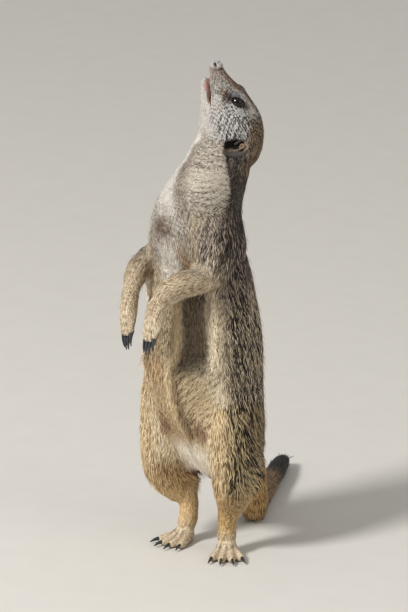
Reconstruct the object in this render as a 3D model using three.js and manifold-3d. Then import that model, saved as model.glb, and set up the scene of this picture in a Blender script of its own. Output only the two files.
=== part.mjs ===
// A meerkat standing upright on its hind legs with its head thrown back, life size.
// Millimetres, +Z up. The animal faces -Y, its left side is +X, and it stands on z = 0.
// Each solid gives the outline of the coat, out to the tips of the hair.
import * as THREE from "three";
import { mergeVertices } from "three/addons/utils/BufferGeometryUtils.js";
import Module from "manifold-3d";

const wasm = await Module();
wasm.setup();

// ---- driving dimensions ----
const GAP = 0.3; // free space between two neighbouring pieces
const HEAD_TURN = THREE.MathUtils.degToRad(-45); // the head looks over the right shoulder
const HEAD_SEAT = new THREE.Vector3(8.2, 22, 286.2); // middle of the skull's base
const CHEEK = 23.3; // half-width of the head across the cheeks
const EYE_RADIUS = 5.2;
const EYE_SEAT = [8.9, 1.4, 34.4]; // the left eye, in the head's own frame
const EAR_SEAT = [20.2, 0.2, 6.2]; // the left ear, in the head's own frame
const EAR_SIZE = [5, 9.2, 6.4]; // half its thickness, length and height
const NOSE_BASE = 57; // the bare nose pad starts this far along the muzzle
const DIGITS = 4; // on each foot
const FINGER_PITCH = 0.5; // from finger to finger, as a share of the palm's half-width
const FINGER_CLAW = { length: 13, thick: 1.7, curl: 0.32 };
const TOE_CLAW = { length: 7, thick: 1.5, curl: 0.25 };
const TOE_LENGTH = 20.5; // from the ball of the foot to the tip of the middle toes
const TOE_FAN = THREE.MathUtils.degToRad(14.5); // angle between neighbouring toes
const KNEE = 64; // height of the cut between thigh and shank
const LEG_ENDS = [14, 7]; // how far the leg's two ends are rounded off

const X = new THREE.Vector3(1, 0, 0);
const Z = new THREE.Vector3(0, 0, 1);

// ---- stations: [x, y, z, half-width, half-depth] of the oval sections along each part ----
const TORSO = [
  [2, 17, 44, 17, 13],
  [2, 15.5, 68, 32, 28],
  [2, 9.5, 94, 38.5, 34],
  [2, 1.5, 120, 40.5, 40.5],
  [2, -2, 146, 40.5, 43],
  [2, -4, 172, 38.5, 41.5],
  [2, -5.5, 200, 34, 37.4],
  [1.7, -6.2, 212, 31.6, 34.6],
  [1.5, -6.5, 224, 32, 35.3],
  [1.5, -6.5, 242, 29.4, 34],
  [2, 0.5, 257, 25.5, 29.6],
  [3, 8.6, 271, 22.2, 26.4],
  [3.5, 13.5, 286, 20, 23],
  [4, 15, 298, 16, 17],
];
const NECK_ROOT = new THREE.Vector3(2, 0, 252);
const NECK_LEAN = new THREE.Vector3(0.1, 0.45, 1);

// The head's own frame has +X to its left, +Y to the top of the skull and +Z to the nose.
const SKULL = [
  [0, -3, -16, 14, 12],
  [0, -1, -6, 20.5, 17.5],
  [0, 0, 5, CHEEK, 20],
  [0, -0.6, 15, CHEEK - 0.8, 20.2],
  [0, -2.4, 25, 19.8, 17.8],
  [0, -4.4, 34, 15, 13.6],
  [0, -7.6, 41, 11, 9.8],
  [0, -10.6, 47.5, 8, 7.4],
  [0, -12.6, 54, 6.2, 5.5],
  [0, -13, 60, 5.4, 5],
];
const BROW = [
  [6, -0.8, 42.5, 3.2, 2.8],
  [9, 4.4, 36.5, 4.4, 3.8],
  [10.6, 7.6, 27, 5, 4.6],
];
const CHEEK_PAD = [
  [6.4, -12, 38, 4.2, 4.4],
  [9.2, -12.4, 27, 7.4, 7.6],
  [11.6, -10.4, 13, 10.2, 10.8],
  [11, -8, 1, 10, 10.6],
];
const LOWER_JAW = [
  [0, -15.5, -4, 13, 9],
  [0, -17.4, 7, 13.4, 9],
  [0, -18.3, 18, 12, 6.9],
  [0, -19.2, 28, 9.8, 5.2],
  [0, -20.2, 38, 7.2, 4.1],
  [0, -20.8, 45, 5.4, 3.2],
  [0, -21, 49.5, 3.8, 2.7],
];
const TONGUE = [
  [0, -17.4, 25, 4.2, 1.4],
  [0, -18.3, 34, 4.4, 1.4],
  [0, -19.3, 43.5, 3.2, 1.1],
];
const MOUTH = [
  [0, -16.8, 31, 13, 0.6],
  [0, -18, 40, 12, 0.9],
  [0, -19.4, 50, 11, 1.4],
  [0, -20.4, 60, 11, 1.6],
];

// Each leg from hip to hock, with the long hair of the thigh. The right one stands a little ahead.
const LEGS = {
  left: [
    [25, 2, 134, 10, 21],
    [28.4, 1.5, 112, 17, 26],
    [30, 1.5, 94, 19, 26],
    [30.5, 1.5, 76, 18.5, 25],
    [29.5, 1.5, 60, 16.5, 22.5],
    [27, 2.5, 47, 13.5, 18.5],
    [24.6, 3, 38.5, 11, 14.5],
    [22.4, 2.8, 31, 8.8, 11.2],
    [21.5, 2, 23, 7.2, 8.2],
  ],
  right: [
    [-17, -8, 150, 9, 22],
    [-23, -7, 132, 15.5, 28.5],
    [-25.6, -6.5, 112, 18, 29],
    [-27, -4.5, 94, 19.5, 28.5],
    [-28, -5, 76, 18.8, 27],
    [-27.6, -5, 60, 16.8, 26],
    [-25.2, -2.8, 47, 13.8, 22],
    [-22, -0.4, 38.5, 11, 16.4],
    [-18.6, 2.1, 31, 8, 9.9],
    [-17.4, 3, 24, 6.8, 7.8],
  ],
};
const TAIL = [
  [2, 30, 80, 13, 13],
  [0, 43, 54, 12.6, 13],
  [-5, 53, 29, 11.6, 11.8],
  [-12, 62, 10.6, 10.4, 10.8],
  [-24, 79, 8.4, 9.3, 9.1],
  [-42, 105, 8, 8.7, 8.6],
  [-60, 132, 7.6, 8.2, 8.1],
  [-73, 151, 6.8, 7.2, 7.2],
  [-80, 162, 5.4, 5.4, 5.8],
];
const TAIL_CUTS = [3, 6]; // stations where the tail is parted into three lengths

// `row` runs along the knuckles from right to left, and its Z says how far the left end is lifted.
const ARMS = {
  left: {
    upper: [[22.5, -2, 248, 10.5, 15], [28, -12, 230, 11, 15], [31.5, -22, 212, 11.5, 13]],
    fore: [
      [31.5, -24, 206, 11, 11.5], [25, -41.5, 205.5, 9.4, 10],
      [18, -53, 200, 8.4, 9], [14.6, -58.8, 193.5, 7.8, 8],
    ],
    hand: [
      [14.6, -58.6, 197, 7.2, 7.6], [15, -61.4, 187, 7.6, 6.6],
      [14.4, -63.2, 178, 7.8, 5.6], [13.6, -64, 173, 7, 4.6],
    ],
    row: [0.94, -0.06, 0.24],
  },
  right: {
    upper: [[-19, -2, 244, 10.5, 15], [-24, -10, 230, 11, 15], [-28, -18, 217, 11.5, 13]],
    fore: [
      [-29, -18, 214, 11.5, 12], [-26, -32.5, 208.5, 9.6, 10],
      [-21.8, -44.8, 202, 7.8, 8.4], [-18.8, -51, 194, 7.2, 7.6],
    ],
    hand: [
      [-18.8, -51, 198, 6.9, 7.3], [-17.8, -54.4, 187, 6.6, 6.2],
      [-16.9, -56.4, 177, 6.6, 5.4], [-16.6, -57.2, 169.5, 6, 4.5],
    ],
    row: [0.94, -0.06, 0.24],
  },
};
const FEET = {
  left: { side: 1, ankle: [21, 2.2, 33], instep: [21.8, 0.6, 18], ball: [25.2, -3], aim: 45 },
  right: { side: -1, ankle: [-17.8, 3.4, 34], instep: [-16.2, 0.8, 18], ball: [-16.6, -3], aim: 1 },
};

// ---- coat colours ----
const finish = (color, roughness) => ({ color, roughness, metalness: 0 });
const COAT = {
  grizzled: finish(0x9a8568, 0.9),
  pale: finish(0xc4b497, 0.9),
  warm: finish(0xb3905f, 0.9),
  face: finish(0xa9a196, 0.9),
  dark: finish(0x33261d, 0.85),
  flesh: finish(0xb47d76, 0.45),
  nose: finish(0x3a2c28, 0.4),
  claw: finish(0x272a2e, 0.35),
  eye: finish(0x1a100c, 0.05),
};
const COAT_OF = {
  trunk: "grizzled", upper: "grizzled", thigh: "grizzled", tail: "grizzled",
  neck: "pale", jaw: "pale", forearm: "pale", hand: "pale",
  shank: "warm", foot: "warm", head: "face", ear: "dark",
  tongue: "flesh", nose: "nose", claw: "claw", eye: "eye",
};

// ---- shaping tools ----

// A closed three.js geometry as a solid that can be cut and joined.
function solid(geometry) {
  const bare = geometry.clone();
  for (const extra of ["normal", "uv"]) bare.deleteAttribute(extra);
  const merged = mergeVertices(bare, 1e-4);
  return new wasm.Manifold(new wasm.Mesh({
    numProp: 3,
    vertProperties: merged.attributes.position.array,
    triVerts: new Uint32Array(merged.index.array),
  }));
}

// Oval sections along a smooth path through the stations, closed by a dome at each end.
// `across` holds the direction of the width at the start and at the end, `ends` the length of the
// two domes, and `grow` is added all round, to make room for a neighbour.
function loft(stations, { sides, rings, across = [X, X], ends = [8, 8], grow = 0 }) {
  const smooth = (points) => new THREE.CatmullRomCurve3(points, false, "catmullrom");
  const path = smooth(stations.map(([x, y, z]) => new THREE.Vector3(x, y, z)));
  const girth = smooth(stations.map(([, , , wide, deep]) => new THREE.Vector3(wide, deep, 0)));
  const length = path.getLength();
  const dome = (away, reach) => Math.sqrt(1 - (1 - Math.min(1, away / reach)) ** 2);
  const vertices = [];
  for (let ring = 0; ring <= rings; ring++) {
    const along = (1 - Math.cos((Math.PI * ring) / rings)) / 2;
    const t = path.getUtoTmapping(along);
    const centre = path.getPoint(t);
    const tangent = path.getTangent(t);
    if (ring === 0 || ring === rings) {
      vertices.push(centre.addScaledVector(tangent, ring === 0 ? -grow : grow));
      continue;
    }
    const oval = girth.getPoint(t);
    const shrink = dome(along * length, ends[0]) * dome((1 - along) * length, ends[1]);
    const turned = across[0].clone().lerp(across[1], along);
    const deepward = new THREE.Vector3().crossVectors(tangent, turned).normalize();
    const wideward = new THREE.Vector3().crossVectors(deepward, tangent);
    for (let side = 0; side < sides; side++) {
      const angle = (2 * Math.PI * side) / sides;
      vertices.push(centre.clone()
        .addScaledVector(wideward, (oval.x * shrink + grow) * Math.cos(angle))
        .addScaledVector(deepward, (oval.y * shrink + grow) * Math.sin(angle)));
    }
  }
  const last = vertices.length - 1;
  const at = (ring, side) => 1 + (ring - 1) * sides + (side % sides);
  const faces = [];
  for (let side = 0; side < sides; side++) {
    faces.push(0, at(1, side + 1), at(1, side));
    faces.push(last, at(rings - 1, side), at(rings - 1, side + 1));
    for (let ring = 1; ring < rings - 1; ring++) {
      const [a, b, c, d] = [at(ring, side), at(ring, side + 1), at(ring + 1, side + 1), at(ring + 1, side)];
      faces.push(a, b, c, a, c, d);
    }
  }
  return solid(new THREE.BufferGeometry().setFromPoints(vertices).setIndex(faces));
}

function ball([x, y, z], radii, across, down) {
  const sphere = new THREE.SphereGeometry(1, across, down);
  sphere.scale(...radii);
  sphere.translate(x, y, z);
  return solid(sphere);
}

const join = (...pieces) => pieces.reduce((whole, piece) => whole.add(piece));
const without = (piece, ...others) => others.reduce((rest, other) => rest.subtract(other), piece);
const aboveFloor = (piece) => piece.trimByPlane([0, 0, 1], 0);
const largest = (piece) => piece.decompose().reduce((a, b) => (a.volume() > b.volume() ? a : b));
const mirrored = (stations, side) => stations.map(([x, ...rest]) => [side * x, ...rest]);

// The pieces beyond and before a thin cut through `point`, square to `normal`.
function parted(piece, normal, point) {
  const n = normal.clone().normalize();
  const offset = n.dot(point);
  return [
    piece.trimByPlane(n.toArray(), offset + GAP / 2),
    piece.trimByPlane(n.clone().negate().toArray(), -offset + GAP / 2),
  ];
}

// A horn claw: tapered and hooked, from `root` along `ahead`, its tip drawn towards `under`.
function claw(root, ahead, under, { length, thick, curl }, grow = 0) {
  const across = new THREE.Vector3().crossVectors(ahead, under).normalize();
  const stations = [0, 0.35, 0.7, 1].map((t) => {
    const point = root.clone()
      .addScaledVector(ahead, t * length)
      .addScaledVector(under, length * curl * t * t);
    const taper = thick * (1 - 0.8 * t ** 1.5);
    return [...point.toArray(), taper * 0.75, taper];
  });
  return loft(stations, { sides: 5, rings: 4, across: [across, across], ends: [0.5, 0.6], grow });
}

// ---- head ----
const headFrame = new THREE.Matrix4().makeRotationZ(HEAD_TURN).setPosition(HEAD_SEAT);
const onHead = (piece) => piece.transform(headFrame.elements);
const bothSides = (make) => join(make(1), make(-1));

function headMass(grow) {
  return join(
    loft(SKULL, { sides: 18, rings: 12, ends: [12, 5], grow }),
    bothSides((s) => loft(mirrored(BROW, s), { sides: 6, rings: 5, ends: [4, 6], grow })),
    bothSides((s) => loft(mirrored(CHEEK_PAD, s), { sides: 8, rings: 5, ends: [6, 8], grow })));
}

const lowerJaw = (grow) => loft(LOWER_JAW, { sides: 12, rings: 8, ends: [8, 3.5], grow });
const tongue = (grow) => loft(TONGUE, { sides: 8, rings: 5, ends: [2, 2], grow });
const earCup = (side, grow) => {
  const [x, y, z] = EAR_SEAT;
  return ball([side * x, y, z], EAR_SIZE.map((half) => half + grow), 11, 7);
};
const eyeball = (side, grow) => {
  const [x, y, z] = EYE_SEAT;
  return ball([side * x, y, z], Array(3).fill(EYE_RADIUS + grow), 10, 7);
};

// The bare end of the nose, with two comma-shaped nostrils that open forwards and to the sides.
function nosePad(muzzleEnd) {
  const pad = loft([[0, -12.8, NOSE_BASE - 3, 6, 5.3], [0, -12.9, 59.5, 5.7, 5.1], [0, -12.5, 62, 5, 4.5]],
    { sides: 12, rings: 5, ends: [1, 3.5] });
  const nostril = (s) => loft(
    [[s * 1.7, -13.9, 58.8, 0.9, 1], [s * 2.4, -13.4, 60.6, 1.3, 1.3], [s * 4, -12.6, 62.6, 1.5, 1.3]],
    { sides: 6, rings: 4, ends: [0.8, 0.8] });
  return without(join(muzzleEnd, pad.trimByPlane([0, 0, 1], NOSE_BASE + GAP / 2)), bothSides(nostril));
}

// A small crescent cup, hollowed from the side and the front, with a ridge of gristle left inside.
function ear(side) {
  const [x, y, z] = EAR_SEAT;
  const hollow = ball([side * (x + 2.6), y - 0.8, z + 2.2], [4.4, 7.4, 5], 10, 6);
  const ridge = loft(
    [[side * x, y + 1, z - 4, 2, 1], [side * (x + 1.6), y + 2.4, z - 0.5, 2, 1], [side * x, y + 5.5, z + 3, 1.6, 1]],
    { sides: 5, rings: 4, ends: [1.5, 1.5] });
  return join(without(earCup(side, 0), hollow), ridge.intersect(earCup(side, 0)));
}

function headSolids() {
  const mouth = loft(MOUTH, { sides: 6, rings: 5, ends: [1, 1] });
  const [noseEnd, face] = parted(headMass(0), Z, new THREE.Vector3(0, 0, NOSE_BASE));
  const solids = {
    head: largest(without(face, mouth, lowerJaw(GAP), tongue(GAP),
      bothSides((s) => eyeball(s, GAP)), bothSides((s) => earCup(s, GAP)))),
    jaw: largest(without(lowerJaw(0), mouth, tongue(GAP), bothSides((s) => earCup(s, GAP)))),
    tongue: tongue(0),
    nose: nosePad(noseEnd),
    eye_left: eyeball(1, 0),
    eye_right: eyeball(-1, 0),
    ear_left: ear(1),
    ear_right: ear(-1),
  };
  for (const name of Object.keys(solids)) solids[name] = onHead(solids[name]);
  return solids;
}

// ---- arms ----

// The four fingers of a hanging forepaw, side by side, each with a long digging claw.
function fingers(side) {
  const { hand, row } = ARMS[side];
  const [palm, knuckles] = hand.slice(-2).map((station) => new THREE.Vector3(...station));
  const down = knuckles.clone().sub(palm).normalize();
  const rowward = new THREE.Vector3(...row).normalize();
  const pitch = hand.at(-1)[3] * FINGER_PITCH;
  const flesh = [];
  const claws = [];
  for (let digit = 0; digit < DIGITS; digit++) {
    const place = digit - (DIGITS - 1) / 2;
    const reach = Math.abs(place) < 1 ? 6.5 : 4.5;
    const root = knuckles.clone().addScaledVector(down, -4).addScaledVector(rowward, place * pitch);
    const bend = root.clone().addScaledVector(down, reach).add(new THREE.Vector3(0, -0.8, 0));
    const end = root.clone().addScaledVector(down, reach + 4);
    flesh.push(loft([[...root, 2.1, 2.8], [...bend, 2, 2.6], [...end, 1.7, 2]],
      { sides: 6, rings: 4, ends: [1.5, 1.8] }));
    const ahead = down.clone().add(new THREE.Vector3(-0.06 * place, -0.32, 0)).normalize();
    const clawRoot = end.clone().addScaledVector(ahead, -2);
    claws.push((grow) => claw(clawRoot, ahead, new THREE.Vector3(0, 1, 0), FINGER_CLAW, grow));
  }
  return { flesh: join(...flesh), claws };
}

function armSolids(side, torsoRoom) {
  const { upper, fore, hand } = ARMS[side];
  const upperArm = (grow) => loft(upper, { sides: 12, rings: 7, ends: [12, 9], grow });
  const forearm = (grow) => loft(fore, { sides: 12, rings: 8, ends: [10, 5], grow });
  const palm = loft(hand, { sides: 10, rings: 6, ends: [5, 3] });
  const { flesh, claws } = fingers(side);
  const solids = {
    [`upper_arm_${side}`]: largest(without(upperArm(0), torsoRoom)),
    [`forearm_${side}`]: largest(without(forearm(0), torsoRoom, upperArm(GAP))),
    [`hand_${side}`]: largest(without(join(palm, flesh), forearm(GAP), ...claws.map((make) => make(GAP)))),
  };
  claws.forEach((make, digit) => { solids[`claw_hand_${side}_${digit + 1}`] = make(0); });
  return solids;
}

// ---- legs ----
const legLoft = (name, grow) =>
  loft(LEGS[name], { sides: 17, rings: 11, ends: LEG_ENDS, grow });

// The bare-soled hind foot: the metatarsus, the ball and four spread toes with their claws.
function footSolids(name) {
  const { side, ankle, instep, ball: [ballX, ballY], aim } = FEET[name];
  const turn = side * THREE.MathUtils.degToRad(aim);
  const heading = (angle) => [
    new THREE.Vector3(Math.sin(angle), -Math.cos(angle), 0),
    new THREE.Vector3(Math.cos(angle), Math.sin(angle), 0),
  ];
  const [ahead, across] = heading(turn);
  const spot = (forward, sideways, height) => new THREE.Vector3(ballX, ballY, height)
    .addScaledVector(ahead, forward).addScaledVector(across, sideways).toArray();
  const shin = loft([[...ankle, 7.2, 7.8], [...instep, 6.8, 7], [...spot(0, 0, 7), 7.4, 7.4]],
    { sides: 11, rings: 5, across: [X, across], ends: [5, 7] });
  const ballPad = loft([[...spot(-7, 0, 5.6), 6.6, 7], [...spot(1, 0, 5), 8.6, 6.6], [...spot(8, 0, 3.6), 9.2, 5.2]],
    { sides: 10, rings: 5, across: [across, across], ends: [5, 5] });
  const toes = [];
  const claws = [];
  for (let digit = 0; digit < DIGITS; digit++) {
    const place = (digit - (DIGITS - 1) / 2) * side;
    const reach = TOE_LENGTH * (Math.abs(place) < 1 ? 1 : 0.86);
    const [out, level] = heading(turn + place * TOE_FAN);
    const start = new THREE.Vector3(...spot(3, place * 3.9, 4.4));
    const knuckle = start.clone().addScaledVector(out, reach * 0.45).setZ(2.6);
    const end = start.clone().addScaledVector(out, reach - 5).setZ(1.9);
    toes.push(loft([[...start, 3, 3.6], [...knuckle, 2.8, 3.3], [...end, 2.3, 2.8]],
      { sides: 6, rings: 4, across: [level, level], ends: [2, 2.4] }));
    const clawRoot = end.clone().addScaledVector(out, -0.4).setZ(3);
    claws.push((grow) => claw(clawRoot, out, new THREE.Vector3(0, 0, -1), TOE_CLAW, grow));
  }
  const foot = without(aboveFloor(join(shin, ballPad, ...toes)),
    legLoft(name, GAP), ...claws.map((make) => make(GAP)));
  const solids = { [`foot_${name}`]: largest(foot) };
  claws.forEach((make, digit) => { solids[`claw_foot_${name}_${digit + 1}`] = aboveFloor(make(0)); });
  return solids;
}

function legSolids(name, torsoRoom) {
  const [thigh, shank] = parted(without(legLoft(name, 0), torsoRoom), Z, new THREE.Vector3(0, 0, KNEE));
  return { [`thigh_${name}`]: largest(thigh), [`shank_${name}`]: largest(shank), ...footSolids(name) };
}

// ---- tail: from the rump down to the floor, then along it behind the animal ----
function tailSolids(...rooms) {
  const whole = aboveFloor(loft(TAIL, { sides: 11, rings: 16, ends: [6, 5] }));
  const cut = (index) => {
    const [here, next] = TAIL.slice(index, index + 2).map((station) => new THREE.Vector3(...station));
    return [next.sub(here), here];
  };
  const [outer, base] = parted(whole, ...cut(TAIL_CUTS[0]));
  const [tip, middle] = parted(outer, ...cut(TAIL_CUTS[1]));
  return { tail_base: largest(without(base, ...rooms)), tail_middle: middle, tail_tip: tip };
}

// ---- assembly ----
const torso = (grow) => loft(TORSO, { sides: 22, rings: 19, ends: [14, 10], grow });
const [neckAndUp, trunk] = parted(torso(0), NECK_LEAN, NECK_ROOT);
const headRoom = onHead(join(headMass(GAP), lowerJaw(GAP), bothSides((s) => earCup(s, GAP))));
const solids = {
  trunk,
  neck: largest(without(neckAndUp, headRoom)),
  ...headSolids(),
  ...armSolids("left", torso(GAP)),
  ...armSolids("right", torso(GAP)),
  ...legSolids("left", torso(GAP)),
  ...legSolids("right", torso(GAP)),
  ...tailSolids(torso(GAP), legLoft("left", GAP), legLoft("right", GAP)),
};

const animal = new THREE.Group();
for (const [name, piece] of Object.entries(solids)) {
  const { vertProperties, triVerts } = piece.getMesh();
  const geometry = new THREE.BufferGeometry()
    .setAttribute("position", new THREE.BufferAttribute(vertProperties, 3))
    .setIndex(new THREE.BufferAttribute(triVerts, 1));
  geometry.computeVertexNormals();
  const coat = name === "tail_tip" ? COAT.dark : COAT[COAT_OF[name.split("_")[0]]];
  const mesh = new THREE.Mesh(geometry, new THREE.MeshStandardMaterial(coat));
  mesh.name = name;
  animal.add(mesh);
}

// The origin is the middle of the whole animal's box, on the floor.
const box = new THREE.Box3().setFromObject(animal);
const middle = box.getCenter(new THREE.Vector3());
animal.position.set(-middle.x, -middle.y, -box.min.z);

export default animal;
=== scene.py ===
"""A meerkat standing on its hind legs with its head thrown back: the looks of the model.

Lengths are in millimetres in the animal's own frame, as in the part's source: the animal faces -Y,
its left side is +X, and z = 0 is the floor. mesh_of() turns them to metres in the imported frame.
"""

import bmesh
import bpy
import numpy as np
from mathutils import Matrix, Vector


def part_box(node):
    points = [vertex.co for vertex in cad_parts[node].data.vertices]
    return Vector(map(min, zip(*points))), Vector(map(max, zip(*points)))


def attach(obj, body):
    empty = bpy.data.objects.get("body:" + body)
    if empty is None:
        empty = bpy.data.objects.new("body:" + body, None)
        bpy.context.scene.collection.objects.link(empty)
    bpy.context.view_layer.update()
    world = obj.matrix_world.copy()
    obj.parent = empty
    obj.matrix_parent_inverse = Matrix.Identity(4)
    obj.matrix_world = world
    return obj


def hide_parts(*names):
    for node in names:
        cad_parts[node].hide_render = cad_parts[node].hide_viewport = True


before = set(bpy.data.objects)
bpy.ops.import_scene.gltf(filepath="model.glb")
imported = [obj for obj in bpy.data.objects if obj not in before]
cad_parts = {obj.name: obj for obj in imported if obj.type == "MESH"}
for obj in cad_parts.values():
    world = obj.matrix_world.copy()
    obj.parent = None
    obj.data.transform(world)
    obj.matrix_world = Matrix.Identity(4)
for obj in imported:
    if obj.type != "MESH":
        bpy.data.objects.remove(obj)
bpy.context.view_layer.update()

# ---- driving numbers: lengths in millimetres, shares without a unit ----
METRES = 0.001
MIDLINE = 2.0
HEAD_TURN = np.radians(-45)
HEAD_SEAT = np.array([8.2, 22, 286.2])
EYE_RADIUS = 5.2
EYE_SEAT = np.array([8.9, 1.4, 34.4])
DIGITS = 4
TOE_LENGTH = 20.5
OUTER_TOE = 0.86
TOE_PITCH = 3.9
TOE_FAN = np.radians(14.5)
INNER_FINGER = 6.5
OUTER_FINGER = 4.5
FINGER_PITCH = 0.5
CLAW_SPREAD = 0.06
CLAW_FORWARD = 0.32
FINGER_CLAW = {"length": 13, "thick": 1.7, "curl": 0.32}
TOE_CLAW = {"length": 7, "thick": 1.5, "curl": 0.25}
VOXEL = 0.9
BROAD_LIMB = 9
BROAD_GRID = (52, 48)
SMALL_GRID = (16, 16)
SECTIONS = 40
FINE_LIMBS = ["skull", "jaw", "brow", "cheek", "hand", "finger", "shin", "ball", "toe"]

# ---- stations: x, y, z, half-width, half-depth of the oval sections along each part; a ..._COAT
# is the depth of the coat at each of them, which the skin lies under ----
TORSO = [
    [2, 17, 44, 17, 13], [2, 15.5, 68, 32, 28], [2, 9.5, 94, 38.5, 34],
    [2, 1.5, 120, 40.5, 40.5], [2, -2, 146, 40.5, 43], [2, -4, 172, 38.5, 41.5],
    [2, -5.5, 200, 34, 37.4], [1.7, -6.2, 212, 31.6, 34.6], [1.5, -6.5, 224, 32, 35.3],
    [1.5, -6.5, 242, 29.4, 34], [2, 0.5, 257, 25.5, 29.6], [3, 8.6, 271, 22.2, 26.4],
    [3.5, 13.5, 286, 20, 23], [4, 15, 298, 16, 17],
]
TORSO_COAT = [3, 3, 2, 1.8, 1.6, 1.6, 1.6, 1.6, 1.6, 1.5, 1.4, 1.3, 1.2, 1.2]
ARMPIT_FOLD = [
    [29, -21, 216, 9, 10], [31.5, -22.5, 202, 8, 9.5], [31.8, -21.5, 188, 6.4, 8.5],
    [31.5, -19, 172, 5, 8],
]
SKULL = [
    [0, -3, -16, 14, 12], [0, -1, -6, 20.5, 17.5], [0, 0, 5, 23.3, 20], [0, -0.6, 15, 22.5, 20.2],
    [0, -2.4, 25, 19.8, 17.8], [0, -4.4, 34, 15, 13.6], [0, -7.6, 41, 11, 9.8],
    [0, -10.6, 47.5, 8, 7.4], [0, -12.6, 54, 6.2, 5.5], [0, -13, 60, 5.4, 5],
]
SKULL_COAT = [1, 1, 0.9, 0.9, 0.8, 0.6, 0.5, 0.4, 0.3, 0.2]
BROW = [[6, -0.8, 42.5, 3.2, 2.8], [9, 4.4, 36.5, 4.4, 3.8], [10.6, 7.6, 27, 5, 4.6]]
CHEEK_PAD = [
    [6.4, -12, 38, 4.2, 4.4], [9.2, -12.4, 27, 7.4, 7.6],
    [11.6, -10.4, 13, 10.2, 10.8], [11, -8, 1, 10, 10.6],
]
LOWER_JAW = [
    [0, -15.5, -4, 13, 9], [0, -17.4, 7, 13.4, 9], [0, -18.3, 18, 12, 6.9],
    [0, -19.2, 28, 9.8, 5.2], [0, -20.2, 38, 7.2, 4.1], [0, -20.8, 45, 5.4, 3.2],
    [0, -21, 49.5, 3.8, 2.7],
]
LEGS = {
    "left": [
        [25, 2, 134, 10, 21], [28.4, 1.5, 112, 17, 26], [30, 1.5, 94, 19, 26],
        [30.5, 1.5, 76, 18.5, 25], [29.5, 1.5, 60, 16.5, 22.5], [27, 2.5, 47, 13.5, 18.5],
        [24.6, 3, 38.5, 11, 14.5], [22.4, 2.8, 31, 8.8, 11.2], [21.5, 2, 23, 7.2, 8.2],
    ],
    "right": [
        [-17, -8, 150, 9, 22], [-23, -7, 132, 15.5, 28.5], [-25.6, -6.5, 112, 18, 29],
        [-27, -4.5, 94, 19.5, 28.5], [-28, -5, 76, 18.8, 27], [-27.6, -5, 60, 16.8, 26],
        [-25.2, -2.8, 47, 13.8, 22], [-22, -0.4, 38.5, 11, 16.4], [-18.6, 2.1, 31, 8, 9.9],
        [-17.4, 3, 24, 6.8, 7.8],
    ],
}
LEG_COAT = [5, 4, 3.2, 2.8, 2.8, 2.8, 2.4, 2, 1.3, 0.8]
TAIL = [
    [2, 30, 80, 13, 13], [0, 43, 54, 12.6, 13], [-5, 53, 29, 11.6, 11.8],
    [-12, 62, 10.6, 10.4, 10.8], [-24, 79, 8.4, 9.3, 9.1], [-42, 105, 8, 8.7, 8.6],
    [-60, 132, 7.6, 8.2, 8.1], [-73, 151, 6.8, 7.2, 7.2], [-80, 162, 5.4, 5.4, 5.8],
]
ARMS = {
    "left": {
        "upper": [[22.5, -2, 248, 10.5, 15], [28, -12, 230, 11, 15], [31.5, -22, 212, 11.5, 13]],
        "fore": [[31.5, -24, 206, 11, 11.5], [25, -41.5, 205.5, 9.4, 10],
                 [18, -53, 200, 8.4, 9], [14.6, -58.8, 193.5, 7.8, 8]],
        "hand": [[14.6, -58.6, 197, 7.2, 7.6], [15, -61.4, 187, 7.6, 6.6],
                 [14.4, -63.2, 178, 7.8, 5.6], [13.6, -64, 173, 7, 4.6]],
    },
    "right": {
        "upper": [[-19, -2, 244, 10.5, 15], [-24, -10, 230, 11, 15], [-28, -18, 217, 11.5, 13]],
        "fore": [[-29, -18, 214, 11.5, 12], [-26, -32.5, 208.5, 9.6, 10],
                 [-21.8, -44.8, 202, 7.8, 8.4], [-18.8, -51, 194, 7.2, 7.6]],
        "hand": [[-18.8, -51, 198, 6.9, 7.3], [-17.8, -54.4, 187, 6.6, 6.2],
                 [-16.9, -56.4, 177, 6.6, 5.4], [-16.6, -57.2, 169.5, 6, 4.5]],
    },
}
KNUCKLE_ROW = np.array([0.94, -0.06, 0.24])
FEET = {
    "left": {"side": 1, "ankle": [21, 2.2, 33], "instep": [21.8, 0.6, 18],
             "ball": [25.2, -3], "aim": 45},
    "right": {"side": -1, "ankle": [-17.8, 3.4, 34], "instep": [-16.2, 0.8, 18],
              "ball": [-16.6, -3], "aim": 1},
}

X = np.array([1.0, 0, 0])
Y = np.array([0, 1.0, 0])
Z = np.array([0, 0, 1.0])
COS, SIN = np.cos(HEAD_TURN), np.sin(HEAD_TURN)
HEAD_AXES = np.array([[COS, -SIN, 0], [SIN, COS, 0], [0, 0, 1]])


def on_head(points):
    """Points of the head's own frame (+X its left, +Y its crown, +Z its nose) in the animal's frame."""
    return np.asarray(points, float) @ HEAD_AXES.T + HEAD_SEAT


def to_head(points):
    """Points of the animal's frame in the head's own frame."""
    return (points - HEAD_SEAT) @ HEAD_AXES


eye_low, eye_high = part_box("eye_left")
SHIFT = np.array((eye_low + eye_high) / 2) / METRES - on_head(EYE_SEAT)


# ---- small mathematics ----
def unit(vectors):
    """Each vector divided by its own length."""
    return vectors / np.maximum(np.linalg.norm(vectors, axis=-1, keepdims=True), 1e-9)


def dots(first, second):
    """The dot product of each row of one array with the same row of the other."""
    return np.einsum("ij,ij->i", first, second)


def squared_spans(points, centres):
    """The squared distance from every point to every centre."""
    return (points**2).sum(1)[:, None] + (centres**2).sum(1)[None] - 2 * points @ centres.T


def ease(low, high, value):
    """0 below low, 1 above high, and 3t^2 - 2t^3 between them."""
    t = np.clip((value - low) / (high - low), 0, 1)
    return t * t * (3 - 2 * t)


def hill(value, centre, width):
    """A bell of height 1 round the centre."""
    return np.exp(-((value - centre) / width) ** 2)


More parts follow.
